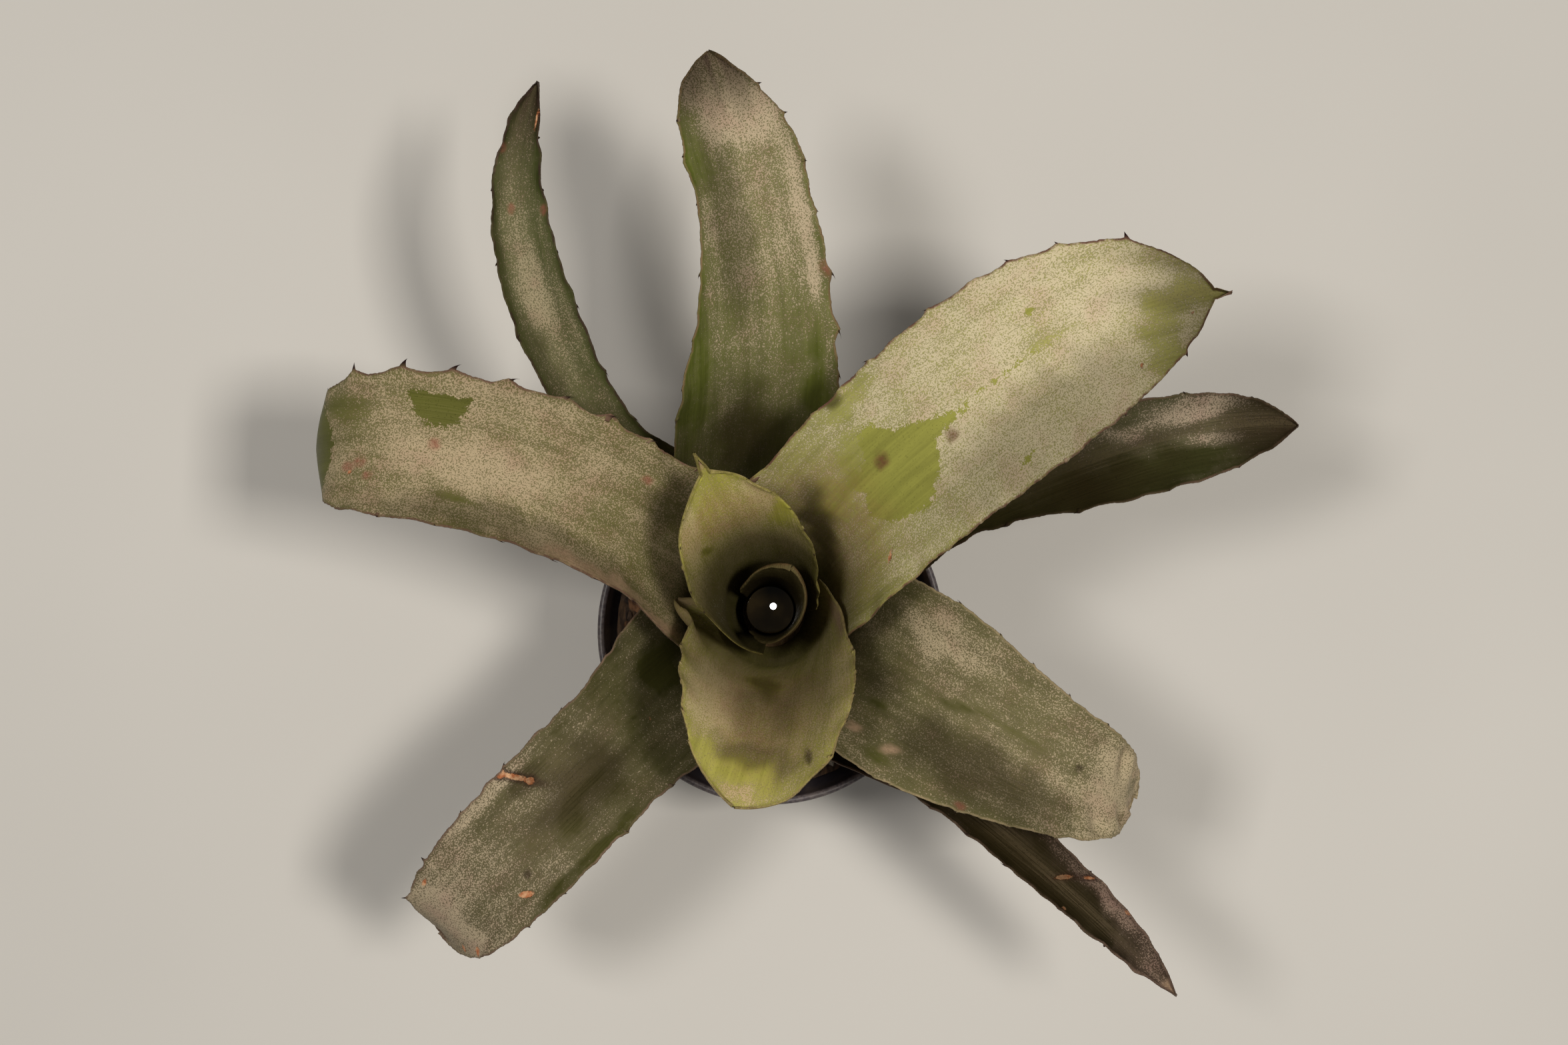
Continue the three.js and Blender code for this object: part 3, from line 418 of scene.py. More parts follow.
class LeafSurface:
    """The leaf's middle surface. t runs from -1 at the foot, over 0 at the mouth, to 1 at the tip."""

    def __init__(self, row, order):
        self.row = PLAIN_LEAF | row
        self.order = order
        self.length = row["length"]
        self.wrap = math.radians(row["wrap"])
        self.lap = math.radians(self.row["lap"])
        self.foot = CROWN_TOP - CROWN_FALL * SHEATH_PITCH * order
        self.mouth_radius = sheath_radius(order, row["mouth"])
        self.slope = 90 - math.degrees(math.atan(sheath_flare(order)))
        self.body_share = 1 - self.row["mucro"] / self.length
        self.march()

    def track(self, key, t):
        """The value that one of the row's lists has at t."""
        return along(self.row[key], t)

    def heading(self, t):
        rise = blend(self.slope, self.track("rise", t), smooth(t / MOUTH_SPAN))
        e = np.radians(rise)
        h = np.radians(self.track("swing", t))
        return np.stack([np.cos(e) * np.cos(h), np.cos(e) * np.sin(h), np.sin(e)], -1)

    def march(self):
        middles = (np.arange(MARCH_STEPS) + 0.5) / MARCH_STEPS
        steps = self.heading(middles) * (self.length / MARCH_STEPS)
        start = np.array([[self.mouth_radius, 0, self.row["mouth"]]])
        self.midrib = np.concatenate([start, start + np.cumsum(steps, 0)])
        self.shares = np.linspace(0, 1, MARCH_STEPS + 1)

    def half_width(self, t):
        a, b = self.row["point"]
        fall = np.maximum(1 - (np.maximum(t, 0) / self.body_share) ** a, 0) ** b
        body = self.row["width"] * self.track("half", t) * fall
        if self.body_share < 1:
            spike = MUCRO_HALF * np.minimum((1 - t) / (1 - self.body_share), 1)
            body = np.maximum(body, spike)
        return blend(self.wrap * self.mouth_radius, body, smooth(t / self.row["shoulder"]))

    def side_width(self, t, v):
        """The width from the midrib to the margin on v's side."""
        share = np.where(v > 0, self.track("left", t), self.track("right", t))
        return self.half_width(t) * blend(1, share, smooth(t / MOUTH_SPAN))

    def ear_reach(self, t, v):
        """How far the lobe at the foot of the right margin turns out."""
        place, span, reach = self.row["ear"]
        return reach * smooth(t / place) * smooth(1 - (t - place) / span) * smooth(-2 * v - 1)

    def ripple(self, t, v):
        phase = 1.7 * self.order + np.where(v > 0, 2.1, 0)
        turn = 2 * math.pi * self.length * t / WAVE_LENGTH + phase
        return self.row["wave"] * np.sin(turn) * np.abs(v) ** 5 * smooth(t / 0.4)

    def at(self, t, v):
        t, v = np.broadcast_arrays(np.asarray(t, float), np.asarray(v, float))
        return np.where((t <= 0)[..., None], self.sheath_at(t, v), self.blade_at(t, v))

    def sheath_at(self, t, v):
        up = blend(self.row["mouth"], self.foot, -t)
        radius = sheath_radius(self.order, up)
        angle = math.radians(self.row["azimuth"]) + v * self.wrap + self.lap
        return np.stack([radius * np.cos(angle), radius * np.sin(angle), up], -1)

    def blade_at(self, t, v):
        t = np.clip(t, 0, 1)
        middle = np.stack([np.interp(t, self.shares, axis) for axis in self.midrib.T], -1)
        tangent = self.heading(t)
        h = np.radians(self.track("swing", t))
        side = np.stack([-np.sin(h), np.cos(h), 0 * h], -1)
        inward = np.stack([-np.cos(h), -np.sin(h), 0 * h], -1)
        upward = np.cross(tangent, side)
        depth = unit(blend(inward, upward, smooth(t / 0.3)[..., None]))
        roll = np.radians(self.track("roll", t))
        side = turn_about(side, tangent, roll)
        depth = turn_about(depth, tangent, roll)
        bend = blend(1 / self.mouth_radius, 1 / self.row["channel"], smooth(t / self.row["open"]))
        lap = self.lap * (1 - smooth(t / self.row["shoulder"]))
        theta = v * self.side_width(t, v) * bend + lap
        curl = np.where(v > 0, self.track("curl_left", t), self.track("curl_right", t))
        curl = curl * smooth((t - 0.1) / 0.25) * v ** 4
        sideways = np.sin(theta) / bend - CURL_PULL * curl * v - self.ear_reach(t, v)
        upwards = (1 - np.cos(theta)) / bend + curl + self.ripple(t, v)
        points = middle + side * sideways[..., None] + depth * upwards[..., None]
        axis = np.broadcast_to([0.0, 0.0, 1.0], points.shape)
        return turn_about(points, axis, np.full(t.shape, math.radians(self.row["azimuth"])))

    def frame(self, t, v):
        """Unit vectors at places: to the hollow side, across along v, and forward."""
        t, v = np.broadcast_arrays(np.asarray(t, float), np.asarray(v, float))
        forward = self.at(np.minimum(t + 0.004, 0.999), v) - self.at(np.maximum(t - 0.004, -1), v)
        across = self.at(t, np.minimum(v + 0.01, 1)) - self.at(t, np.maximum(v - 0.01, -1))
        return unit(np.cross(forward, across)), unit(across), unit(forward)

    def half_thickness(self, t, v):
        middle = blend(SHEATH_THICK, BLADE_THICK, smooth(t / 0.25))
        body = blend(middle, TIP_THICK, smooth((t - 0.7) / 0.3))
        return 0.5 * blend(body, MARGIN_THICK, np.abs(v) ** blend(8, 3, smooth(t / 0.25)))


def teeth_on(leaf, side):
    """The [place, length] pairs of the teeth on one margin."""
    return leaf.row["teeth_left" if side > 0 else "teeth_right"]


def hook_lean(t):
    """How far a tooth leans back towards the foot, as a share of its height."""
    return min(max(0.1 + 3 * (0.85 - t), 0), 1.2)


def wavy(places, line, number):
    """A random wavy line over places in millimetres."""
    height, wavelength, seed = line
    random = np.random.default_rng(seed + number)
    total = 0 * places
    for _ in range(6):
        wave = 2 * math.pi / (wavelength * random.uniform(0.6, 1.7))
        total = total + np.sin(places * wave + random.uniform(0, 2 * math.pi))
    return height * (total / 2.6)


def margin_reach(leaf, t, side):
    """How far the margin stands out past its smooth line: tooth bases, fine nicks and slow waves."""
    s = t * leaf.length
    number = 2 * leaf.order + (side > 0)
    reach = wavy(s, MARGIN_WAVES, number) + wavy(s, MARGIN_NICKS, number)
    for place, size in teeth_on(leaf, side):
        gap = (s - place * leaf.length) / (TOOTH_FOOT * size)
        reach = reach + 0.5 * size * np.maximum(1 - np.abs(gap), 0) ** 1.5
    return reach * smooth(t / 0.1)


def margin_lift(leaf, t, side):
    """How far the margin rises and falls between its teeth."""
    number = 2 * leaf.order + (side > 0)
    lift = wavy(t * leaf.length, MARGIN_FLUTTER, number)
    return lift * smooth(t / 0.2) * smooth((1 - t) / 0.1)


def leaf_stations():
    """The values of t and v that carry points, closer together at the tip and the margins."""
    sheath = np.linspace(-1, 0, SHEATH_ROWS, endpoint=False)
    share = np.linspace(0, 1, BLADE_ROWS)
    blade = (1 - (1 - share) ** 1.35) * TIP_ROW
    x = np.linspace(-1, 1, COLUMNS + 1)
    across = 0.3 * x + 0.7 * np.sin(0.5 * math.pi * x)
    return np.concatenate([sheath, blade]), across


def mark_distance(leaf, kind, mark, s, w):
    """How far places lie outside an oval mark, in millimetres; negative is inside."""
    t, v, long, broad, turn = (*mark, 0)[:5]
    ds = s - t * leaf.length
    dw = w - v * float(leaf.side_width(np.array(t), np.array(v)))
    cos = math.cos(math.radians(turn))
    sin = math.sin(math.radians(turn))
    reach = np.hypot((ds * cos + dw * sin) / long, (dw * cos - ds * sin) / broad)
    distance = (reach - 1) * min(long, broad)
    if kind == "half":
        distance = np.maximum(distance, math.copysign(1, v) * dw)
    return distance


def patch_distance(leaf, s, w):
    """How far places lie outside the large patch's outline, in millimetres; negative is inside."""
    t, v = np.array(PATCH).T
    corners = np.stack([t * leaf.length, v * leaf.side_width(t, v)], -1)
    nearest = np.full(s.shape, FAR)
    inside = np.zeros(s.shape, bool)
    for (s0, w0), (s1, w1) in zip(corners, np.roll(corners, -1, 0)):
        ds = s1 - s0
        dw = w1 - w0
        share = np.clip(((s - s0) * ds + (w - w0) * dw) / (ds * ds + dw * dw), 0, 1)
        nearest = np.minimum(nearest, np.hypot(s - s0 - share * ds, w - w0 - share * dw))
        crossed = (w0 > w) != (w1 > w)
        inside ^= crossed & (s < s0 + (w - w0) * ds / (dw or 1))
    return np.where(inside, -nearest, nearest)


def plain_skin(look, t, margin, back):
    """The skin before its marks: shares, and distances to outlines that are still far off."""
    cover = along(look["cover"], t)
    cover = np.where(back, np.maximum(cover, 0.8), cover)
    rim_width, rim_strength = look["rim"]
    cover = cover - rim_strength * smooth(1 - margin / rim_width) * (t > 0)
    full, clear, strength = look["base_stain_and_shade"]
    # Painted shade of the recesses near the foot, together with the tank water's brown tinge; weaker on
    # the back.
    stain_and_shade = strength * smooth((clear - t) / (clear - full)) * np.where(back, 0.4, 1)
    start, strength = look.get("dusk", [1, 0])
    dusk = strength * smooth((t - start) / (1.02 - start))
    blush = np.where(back, 0.2, 0.0)
    skin = dict(cover=cover, stain_and_shade=stain_and_shade, dusk=dusk, blush=blush, tan=np.zeros(t.shape))
    for outline in ("bare", "scar", "nick"):
        skin[outline] = np.full(t.shape, FAR)
    return skin


def add_mark(skin, kind, distance, narrow):
    """One mark's effect on the skin, sharp at its outline or fading across its half breadth."""
    soft = smooth(0.5 - distance / narrow)
    if kind in OUTLINE_OF:
        key = OUTLINE_OF[kind]
        skin[key] = np.minimum(skin[key], distance)
    elif kind in COVER_CHANGE:
        skin["cover"] = skin["cover"] + COVER_CHANGE[kind] * soft
    elif kind in PEAK_OF:
        key, strength = PEAK_OF[kind]
        skin[key] = np.maximum(skin[key], strength * soft)
    else:
        # A shade mark: painted shade, or a dark spot, dash or strip.
        skin["stain_and_shade"] = 1 - (1 - skin["stain_and_shade"]) * (1 - SHADE * soft)


def leaf_attributes(leaf, look, marks, t, v, face):
    """The coordinates and shares that the leaf's material reads at each point."""
    half = leaf.side_width(t, v)
    s = np.where(t > 0, t * leaf.length, t * (leaf.row["mouth"] - leaf.foot))
    w = v * half
    margin = (1 - np.abs(v)) * half
    back = face > 0
    skin = plain_skin(look, t, margin, back)
    if leaf.order == PATCH_LEAF:
        skin["bare"] = np.where(back | (t <= 0), FAR, patch_distance(leaf, s, w))
    bend_s = wavy(w + 0.4 * s, MARK_BEND_ALONG, leaf.order)
    bend_w = wavy(s + 0.4 * w, MARK_BEND_ACROSS, leaf.order)
    for kind, ovals in marks.items():
        for oval in ovals:
            narrow = min(oval[2:4])
            bent = narrow >= LARGE_MARK and kind not in ("half", "bare")
            distance = mark_distance(leaf, kind, oval, s + bent * bend_s, w + bent * bend_w)
            add_mark(skin, kind, np.where(back, FAR, distance), narrow)
    place = np.stack([s, w, 60.0 * face + 200.0 * leaf.order], -1)
    attributes = dict(place=place, spine=0 * t)
    attributes["skin"] = np.stack([skin["cover"], skin["blush"], skin["dusk"]], -1)
    attributes["edges"] = np.stack([skin["bare"], skin["scar"], margin], -1)
    attributes["extra"] = np.stack([skin["nick"], skin["tan"], skin["stain_and_shade"]], -1)
    return attributes


def sheet_middle(leaf, look, t, v, half, normal, across):
    """The middle surface with its finer forms: tooth bases, nicks, crease, flutter and folds."""
    near = smooth((np.abs(v) - 1) * half / 2.4 + 1)
    reach = np.where(v < 0, margin_reach(leaf, t, -1), margin_reach(leaf, t, 1))
    middle = leaf.at(t, v) + across * (np.sign(v) * near * reach)[..., None]
    crease = CREASE * half * np.abs(v) * (1 - np.abs(v)) * smooth((t - 0.15) / 0.3)
    flutter = np.where(v < 0, margin_lift(leaf, t, -1), margin_lift(leaf, t, 1)) * np.abs(v) ** 6
    start, height = look.get("crinkle", [1, 0])
    folds = wavy(t * leaf.length + 6 * v, CRINKLE_FOLDS, leaf.order) * smooth((t - start) / 0.15)
    flutter = flutter + height * folds * np.sin(math.pi * v * v)
    return middle + normal * (crease + flutter)[..., None]


def sheet_faces(rows, columns):
    """Quads of a front grid, of a back grid whose points follow the front's, and of their rim."""
    index = np.arange(rows * columns).reshape(rows, columns)
    quads = np.stack([index[:-1, :-1], index[:-1, 1:], index[1:, 1:], index[1:, :-1]], -1)
    front = quads.reshape(-1, 4)
    back = front[:, ::-1] + index.size
    loop = np.concatenate([index[:-1, 0], index[-1, :-1], index[:0:-1, -1], index[0, :0:-1]])
    after = np.roll(loop, -1)
    rim = np.stack([loop, after, after + index.size, loop + index.size], -1)
    return np.concatenate([front, back, rim])


def sheet(leaf, look, marks):
    """The leaf's closed sheet: a hollow face, a back, and a rim that joins them."""
    t, v = np.meshgrid(*leaf_stations(), indexing="ij")
    normal, across, _ = leaf.frame(t, v)
    half = np.maximum(leaf.side_width(t, v), 0.5)
    middle = sheet_middle(leaf, look, t, v, half, normal, across)
    rounding = np.sqrt(1 - (1 - np.clip((1 - np.abs(v)) * half / 0.5, 0, 1)) ** 2)
    thickness = leaf.half_thickness(t, v) * np.maximum(rounding, 0.15)
    offset = normal * thickness[..., None]
    points = np.concatenate([(middle + offset).reshape(-1, 3), (middle - offset).reshape(-1, 3)])
    sides = [leaf_attributes(leaf, look, marks, t.ravel(), v.ravel(), np.full(t.size, face))
             for face in (0, 1)]
    attributes = {key: np.concatenate([side[key] for side in sides]) for key in sides[0]}
    return points, sheet_faces(*t.shape), attributes


def horn(leaf, t, side, size, shares, angles):
    """The rings of one tooth: a flattened horn, sunk in the margin and hooked towards the foot."""
    root = leaf.at(t, side)
    normal, across, forward = leaf.frame(t, side)
    out = across * side
    start = root - TOOTH_SINK * out + 0.1 * size * forward
    bend = root + 0.55 * size * out + 0.1 * size * forward
    lean = unit(out - hook_lean(t) * forward)
    end = root + size * (lean + 0.12 * normal)
    rings = []
    for share in shares:
        centre = blend(blend(start, bend, share), blend(bend, end, share), share)
        slim = (1 - share) ** 1.2
        wide = (0.36 * size + 0.15) * slim + 0.035
        thick = 0.3 * slim + 0.03
        rings.append(centre + np.outer(np.cos(angles), forward) * wide
                     + np.outer(np.sin(angles), normal) * thick)
    return np.concatenate(rings)


def spines(leaf, look):
    """The points, faces and attributes of all the leaf's teeth, or None if it has none."""
    shares = np.linspace(0, 1, TOOTH_RINGS)
    angles = np.arange(TOOTH_SIDES) * 2 * math.pi / TOOTH_SIDES
    corners = np.arange(TOOTH_RINGS * TOOTH_SIDES).reshape(TOOTH_RINGS, -1).tolist()
    pattern = ring_faces(corners) + [corners[0][::-1], corners[-1]]
    points = []
    faces = []
    places = []
    for side in (-1, 1):
        for t, size in teeth_on(leaf, side):
            base = len(points) * TOOTH_RINGS * TOOTH_SIDES
            points.append(horn(leaf, t, side, size, shares, angles))
            faces += [[base + corner for corner in face[::-side]] for face in pattern]
            places.append(t)
    if not points:
        return None
    t = np.repeat(places, TOOTH_RINGS * TOOTH_SIDES)
    attributes = leaf_attributes(leaf, look, {}, t, np.ones(t.shape), 0 * t)
    attributes["spine"] = np.tile(np.repeat(shares, TOOTH_SIDES), len(places))
    return np.concatenate(points), faces, attributes


def to_row_frame(points):
    """Plant coordinates in millimetres as row coordinates in metres."""
    x, y, z = points.T
    cos = math.cos(PLANT_LEAN)
    sin = math.sin(PLANT_LEAN)
    return np.stack([x, y * cos - z * sin + PLANT_Y, y * sin + z * cos + SOIL_LEVEL], -1) * MM


def add_object(name, data):
    thing = bpy.data.objects.new(name, data)
    bpy.context.scene.collection.objects.link(thing)
    return thing


def add_piece(name, points, faces, material, attributes=None, smooth_faces=True):
    """A mesh object with its material, in the row frame in metres."""
    mesh = bpy.data.meshes.new(name)
    mesh.from_pydata(points.tolist(), [], [list(face) for face in faces])
    for key, values in (attributes or {}).items():
        vector = values.ndim == 2
        layer = mesh.attributes.new(key, "FLOAT_VECTOR" if vector else "FLOAT", "POINT")
        layer.data.foreach_set("vector" if vector else "value", values.ravel().astype(np.float32))
    mesh.polygons.foreach_set("use_smooth", [smooth_faces] * len(mesh.polygons))
    mesh.validate()
    mesh.update()
    mesh.materials.append(material)
    return add_object(name, mesh)


class Graph:
    """Short calls that add and join the nodes of one material."""

    def __init__(self, name):
        self.material = bpy.data.materials.new(name)
        self.material.use_nodes = True
        self.nodes = self.material.node_tree.nodes
        self.links = self.material.node_tree.links
        self.shader = self.nodes["Principled BSDF"]

    def feed(self, socket, value):
        if isinstance(value, bpy.types.NodeSocket):
            self.links.new(value, socket)
        else:
            socket.default_value = value

    def set(self, **values):
        """Shader inputs by name, with _ for a space."""
        for name, value in values.items():
            self.feed(self.shader.inputs[name.replace("_", " ")], value)

    def attribute(self, name, output="Vector"):
        node = self.nodes.new("ShaderNodeAttribute")
        node.attribute_name = name
        return node.outputs[output]

    def split(self, vector):
        node = self.nodes.new("ShaderNodeSeparateXYZ")
        self.feed(node.inputs[0], vector)
        return list(node.outputs)

    def coordinates(self):
        return self.nodes.new("ShaderNodeTexCoord").outputs["Object"]

    def math(self, operation, *values, clamp=False):
        node = self.nodes.new("ShaderNodeMath")
        node.operation = operation
        node.use_clamp = clamp
        for socket, value in zip(node.inputs, values):
            self.feed(socket, value)
        return node.outputs[0]

    def sway(self, value, noise, amount):
        """The value with noise added that swings about zero."""
        return self.math("MULTIPLY_ADD", self.math("SUBTRACT", noise, 0.5), amount, value)

    def stretch(self, vector, factors):
        node = self.nodes.new("ShaderNodeVectorMath")
        node.operation = "MULTIPLY"
        self.feed(node.inputs[0], vector)
        node.inputs[1].default_value = factors
        return node.outputs[0]

    def noise(self, place, scale, detail=2.0, stretch=None, distortion=0.0):
        node = self.nodes.new("ShaderNodeTexNoise")
        self.feed(node.inputs["Vector"], self.stretch(place, stretch) if stretch else place)
        for name, value in (("Scale", scale), ("Detail", detail), ("Distortion", distortion)):
            node.inputs[name].default_value = value
        return node.outputs["Fac"]

    def ramp(self, value, low, high, start=0.0, end=1.0):
        node = self.nodes.new("ShaderNodeMapRange")
        node.interpolation_type = "SMOOTHSTEP"
        for name, given in (("Value", value), ("From Min", low), ("From Max", high),
                            ("To Min", start), ("To Max", end)):
            self.feed(node.inputs[name], given)
        return node.outputs["Result"]

    def mix(self, share, first, second):
        node = self.nodes.new("ShaderNodeMix")
        node.data_type = "RGBA"
        self.feed(node.inputs["Factor"], share)
        colours = [socket for socket in node.inputs if socket.type == "RGBA"]
        self.feed(colours[0], first)
        self.feed(colours[1], second)
        return next(socket for socket in node.outputs if socket.type == "RGBA")

    def tint(self, colour, share, broken, tone):
        """The colour with a tone over it, as far as a share that noise breaks up."""
        return self.mix(self.math("MULTIPLY", share, broken), colour, tone)

    def bump(self, height, distance):
        node = self.nodes.new("ShaderNodeBump")
        node.inputs["Distance"].default_value = distance
        self.feed(node.inputs["Height"], height)
        return node.outputs["Normal"]


def shaded(colour, factor):
    return (*[channel * factor for channel in colour[:3]], 1.0)


def scurf_cover(g, patchy, unrubbed, worms):
    """How strongly the scurf shows, and the dots that it breaks into where it is thin."""
    scurf = g.math("MULTIPLY", patchy, unrubbed, clamp=True)
    threshold = g.ramp(scurf, 0.0, 1.0, 0.66, 0.38)
    dots = g.ramp(worms, threshold, g.math("ADD", threshold, 0.06))
    veil = g.math("MULTIPLY", scurf, 0.34)
    strength = g.math("MULTIPLY_ADD", scurf, 0.45, 0.48)
    shown = g.math("MAXIMUM", veil, g.math("MULTIPLY", dots, strength))
    shown = g.math("MULTIPLY", shown, g.math("MULTIPLY", unrubbed, g.ramp(patchy, 0.0, 0.12)))
    return shown, dots


def green_skin(g, green, streak, fine_streak):
    """The blade's own colour, with darker and lighter streaks along it."""
    colour = g.mix(g.ramp(streak, 0.35, 0.65), shaded(green, 0.8), green)
    return g.mix(g.ramp(fine_streak, 0.4, 0.7, 0.0, 0.3), colour, shaded(green, 1.25))


def scurf_dust(g, place, scurf):
    """The scurf's own colour, with pinkish clouds."""
    pinkish = (scurf[0] * 0.94, scurf[1] * 0.86, scurf[2] * 0.9, 1)
    return g.mix(g.ramp(g.noise(place, 0.11, 3.0), 0.45, 0.7), scurf, pinkish)


def scarred(g, colour, scar, nick, worms, specks):
    """The colour with corky scars in dark halos and corky nicks, and the share that is cork."""
    ragged = g.sway(scar, worms, 0.8)
    colour = g.mix(g.ramp(ragged, 0.1, 1.3, 0.8, 0.0), colour, SCAR_HALO)
    corky = g.mix(g.ramp(specks, 0.35, 0.65), DARK_CORK, LIGHT_CORK)
    outline = g.math("MINIMUM", ragged, g.sway(nick, worms, 0.8))
    cork = g.ramp(outline, -0.15, 0.12, 1.0, 0.0)
    return g.mix(cork, colour, corky), cork


def leaf_material(name, look):
    """A green blade under pale scurf, with rubbed patches, scars, a dusky tip, painted shade with the
    tank water's tinge, and dark spines.
    """
    g = Graph(name)
    place = g.attribute("place")
    cover, blush, dusk = g.split(g.attribute("skin"))
    bare, scar, margin = g.split(g.attribute("edges"))
    nick, tan, stain_and_shade = g.split(g.attribute("extra"))
    spine = g.attribute("spine", "Fac")
    worms = g.noise(place, 2.4, 1.5, distortion=0.8)
    specks = g.noise(place, 0.55, 3.0)
    blotch = g.noise(place, 0.07, 4.0)
    streak = g.noise(place, 1.0, 3.0, stretch=(0.025, 0.3, 1))
    fine_streak = g.noise(place, 1.0, 2.0, stretch=(0.06, 1.3, 1))

    patchy = g.sway(g.sway(g.sway(cover, blotch, 0.8), streak, 0.45), specks, 0.4)
    unrubbed = g.ramp(g.sway(g.sway(bare, specks, 5.0), worms, 3.0), -0.3, 0.3)
    shown, dots = scurf_cover(g, patchy, unrubbed, worms)
    green = green_skin(g, look["green"], streak, fine_streak)
    colour = g.mix(shown, green, scurf_dust(g, place, look["scurf"]))

    colour = g.tint(colour, tan, g.ramp(specks, 0.3, 0.6, 0.5, 0.95), DRY_SKIN)
    colour = g.tint(colour, blush, g.ramp(specks, 0.3, 0.6, 0.3, 0.75), BLUSH)
    dusk_tone = g.mix(g.math("MULTIPLY", dots, 0.3), DUSK, DUSK_DOTS)
    colour = g.tint(colour, dusk, g.ramp(streak, 0.3, 0.62, 0.62, 1.0), dusk_tone)
    colour, cork = scarred(g, colour, scar, nick, worms, specks)
    broken = g.ramp(g.noise(place, 0.3, 3.0), 0.36, 0.6, 0.3, 0.95)
    colour = g.tint(colour, g.ramp(margin, 0.15, 0.7, 1.0, 0.0), broken, look["edge"])
    # Painted shade, the tank water's tinge and dark spots darken the colour.
    colour = g.mix(stain_and_shade, colour, STAIN_AND_SHADE_COLOUR)
    colour = g.mix(g.ramp(spine, 0.25, 0.7), colour, SPINE_TIP)

    relief = g.math("MULTIPLY_ADD", dots, 0.6, g.math("MULTIPLY", fine_streak, 0.9))
    relief = g.math("MULTIPLY_ADD", blotch, 2.0, relief)
    relief = g.math("MULTIPLY_ADD", cork, 1.6, relief)
    g.set(
        Base_Color=colour,
        Roughness=g.ramp(shown, 0.0, 0.7, 0.46, 0.66),
        Specular_IOR_Level=0.2,
        Specular_Tint=WAX_TINT,
        Normal=g.bump(relief, 0.00016),
    )
    return g.material


def make_leaf(row, look, marks, order):
    node = f"leaf_{order + 1:02d}"
    leaf = LeafSurface(row, order)
    points, faces, attributes = sheet(leaf, look, marks)
    horns = spines(leaf, look)
    faces = faces.tolist()
    if horns:
        more_points, more_faces, more = horns
        faces += [[corner + len(points) for corner in face] for face in more_faces]
        points = np.concatenate([points, more_points])
        attributes = {key: np.concatenate([attributes[key], more[key]]) for key in attributes}
    material = leaf_material(f"{node}_skin", look)
    piece = add_piece(f"{node}_blade", to_row_frame(points), faces, material, attributes)
    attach(piece, BODY)
    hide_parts(node)


def ring_faces(rings):
    """Quads between rings of corners, and triangles where a ring is one corner repeated."""
    faces = []
    for low, high in zip(rings, rings[1:]):
        for k in range(len(low)):
            after = (k + 1) % len(low)
            face = [low[k], low[after], high[after], high[k]]
            faces.append([c for i, c in enumerate(face) if c not in face[:i]])
    return faces


def turned(profile, sides, stagger=0):
    """Points and faces of a closed solid of revolution, from [radius, height] pairs on the axis.

    Every second ring is turned by stagger, a share of the step between its points.
    """
    points = []
    rings = []
    for row, (radius, height) in enumerate(profile):
        count = sides if radius else 1
        rings.append([len(points) + k % count for k in range(sides)])
        for k in range(count):
            angle = 2 * math.pi * (k + stagger * (row % 2)) / sides
            points.append((radius * math.cos(angle), radius * math.sin(angle), height))
    return np.array(points, float), ring_faces(rings)


def pot_profile():
    """The pot's outline with a soft foot, a stepped rim band and a rolled lip."""
    foot = POT_FOOT_RADIUS
    rim = POT_RIM_RADIUS
    top = POT_HEIGHT
    band = POT_HEIGHT - BAND_HEIGHT
    inner_foot = foot - POT_WALL
    inner_top = rim - 1 - BAND_STEP - POT_WALL - 1.2
    outer = [[0, 0], [DRAIN_CIRCLE - 5, 0], [DRAIN_CIRCLE + 7, 0], [foot - 1.2, 0],
             [foot - 0.5, 0.2], [foot - 0.1, 0.7], [foot + 0.1, 1.4]]
    for share in np.linspace(0.04, 1, 14):
        outer.append([blend(foot, inner_top + POT_WALL, share), share * band])
    outer += [[inner_top + POT_WALL + 0.25, band + 0.05], [rim - 2.0, band + 0.5],
              [rim - 1.65, band + 0.8], [rim - 1.5, band + 1.6]]
    lip = [[rim - 0.55, top - 2.6], [rim - 0.15, top - 2.1]]
    for angle in np.radians(np.linspace(-10, 170, 10)):
        lip.append([rim - LIP_RADIUS + LIP_RADIUS * math.cos(angle),
                    top - LIP_RADIUS + LIP_RADIUS * math.sin(angle)])
    inner = [[rim - POT_WALL - 0.7, top - 2], [rim - POT_WALL - BAND_STEP, band + 2.5],
             [inner_top, band], [inner_foot, POT_FLOOR + 0.8], [inner_foot - 0.8, POT_FLOOR],
             [0, POT_FLOOR]]
    return outer + lip + inner


def pot_material():
    """Satin grey-black plastic with a faint dust, dried water marks and a painted highlight on the
    lip's top.
    """
    g = Graph("pot_black_plastic")
    place = g.coordinates()
    z = g.split(place)[2]
    cloud = g.noise(place, 45, 4.0)
    grain = g.noise(place, 900, 2.0)
    scratch = g.noise(place, 260, 3.0, stretch=(1, 1, 0.06))
    colour = g.mix(g.ramp(cloud, 0.35, 0.7), rgb(50, 46, 52), rgb(66, 60, 66))
    drips = g.noise(place, 120, 3.0, stretch=(1, 1, 0.15))
    dust = g.math("MULTIPLY", g.ramp(drips, 0.52, 0.75, 0.0, 0.4), g.ramp(z, 0.02, 0.085, 1.0, 0.35))
    colour = g.mix(dust, colour, rgb(150, 138, 124))
    # A painted highlight: lighter grey along the top of the lip, broken by grain.
    rim = g.math("MULTIPLY", g.ramp(z, 0.0865, 0.088), g.ramp(grain, 0.4, 0.6, 0.15, 0.5))
    colour = g.mix(rim, colour, rgb(124, 114, 112))
    relief = g.math("MULTIPLY_ADD", grain, 0.35, g.math("MULTIPLY", scratch, 0.3))
    g.set(
        Base_Color=colour,
        Roughness=g.ramp(cloud, 0.3, 0.7, 0.36, 0.52),
        Specular_IOR_Level=0.5,
        Normal=g.bump(relief, 0.0001),
    )
    return g.material


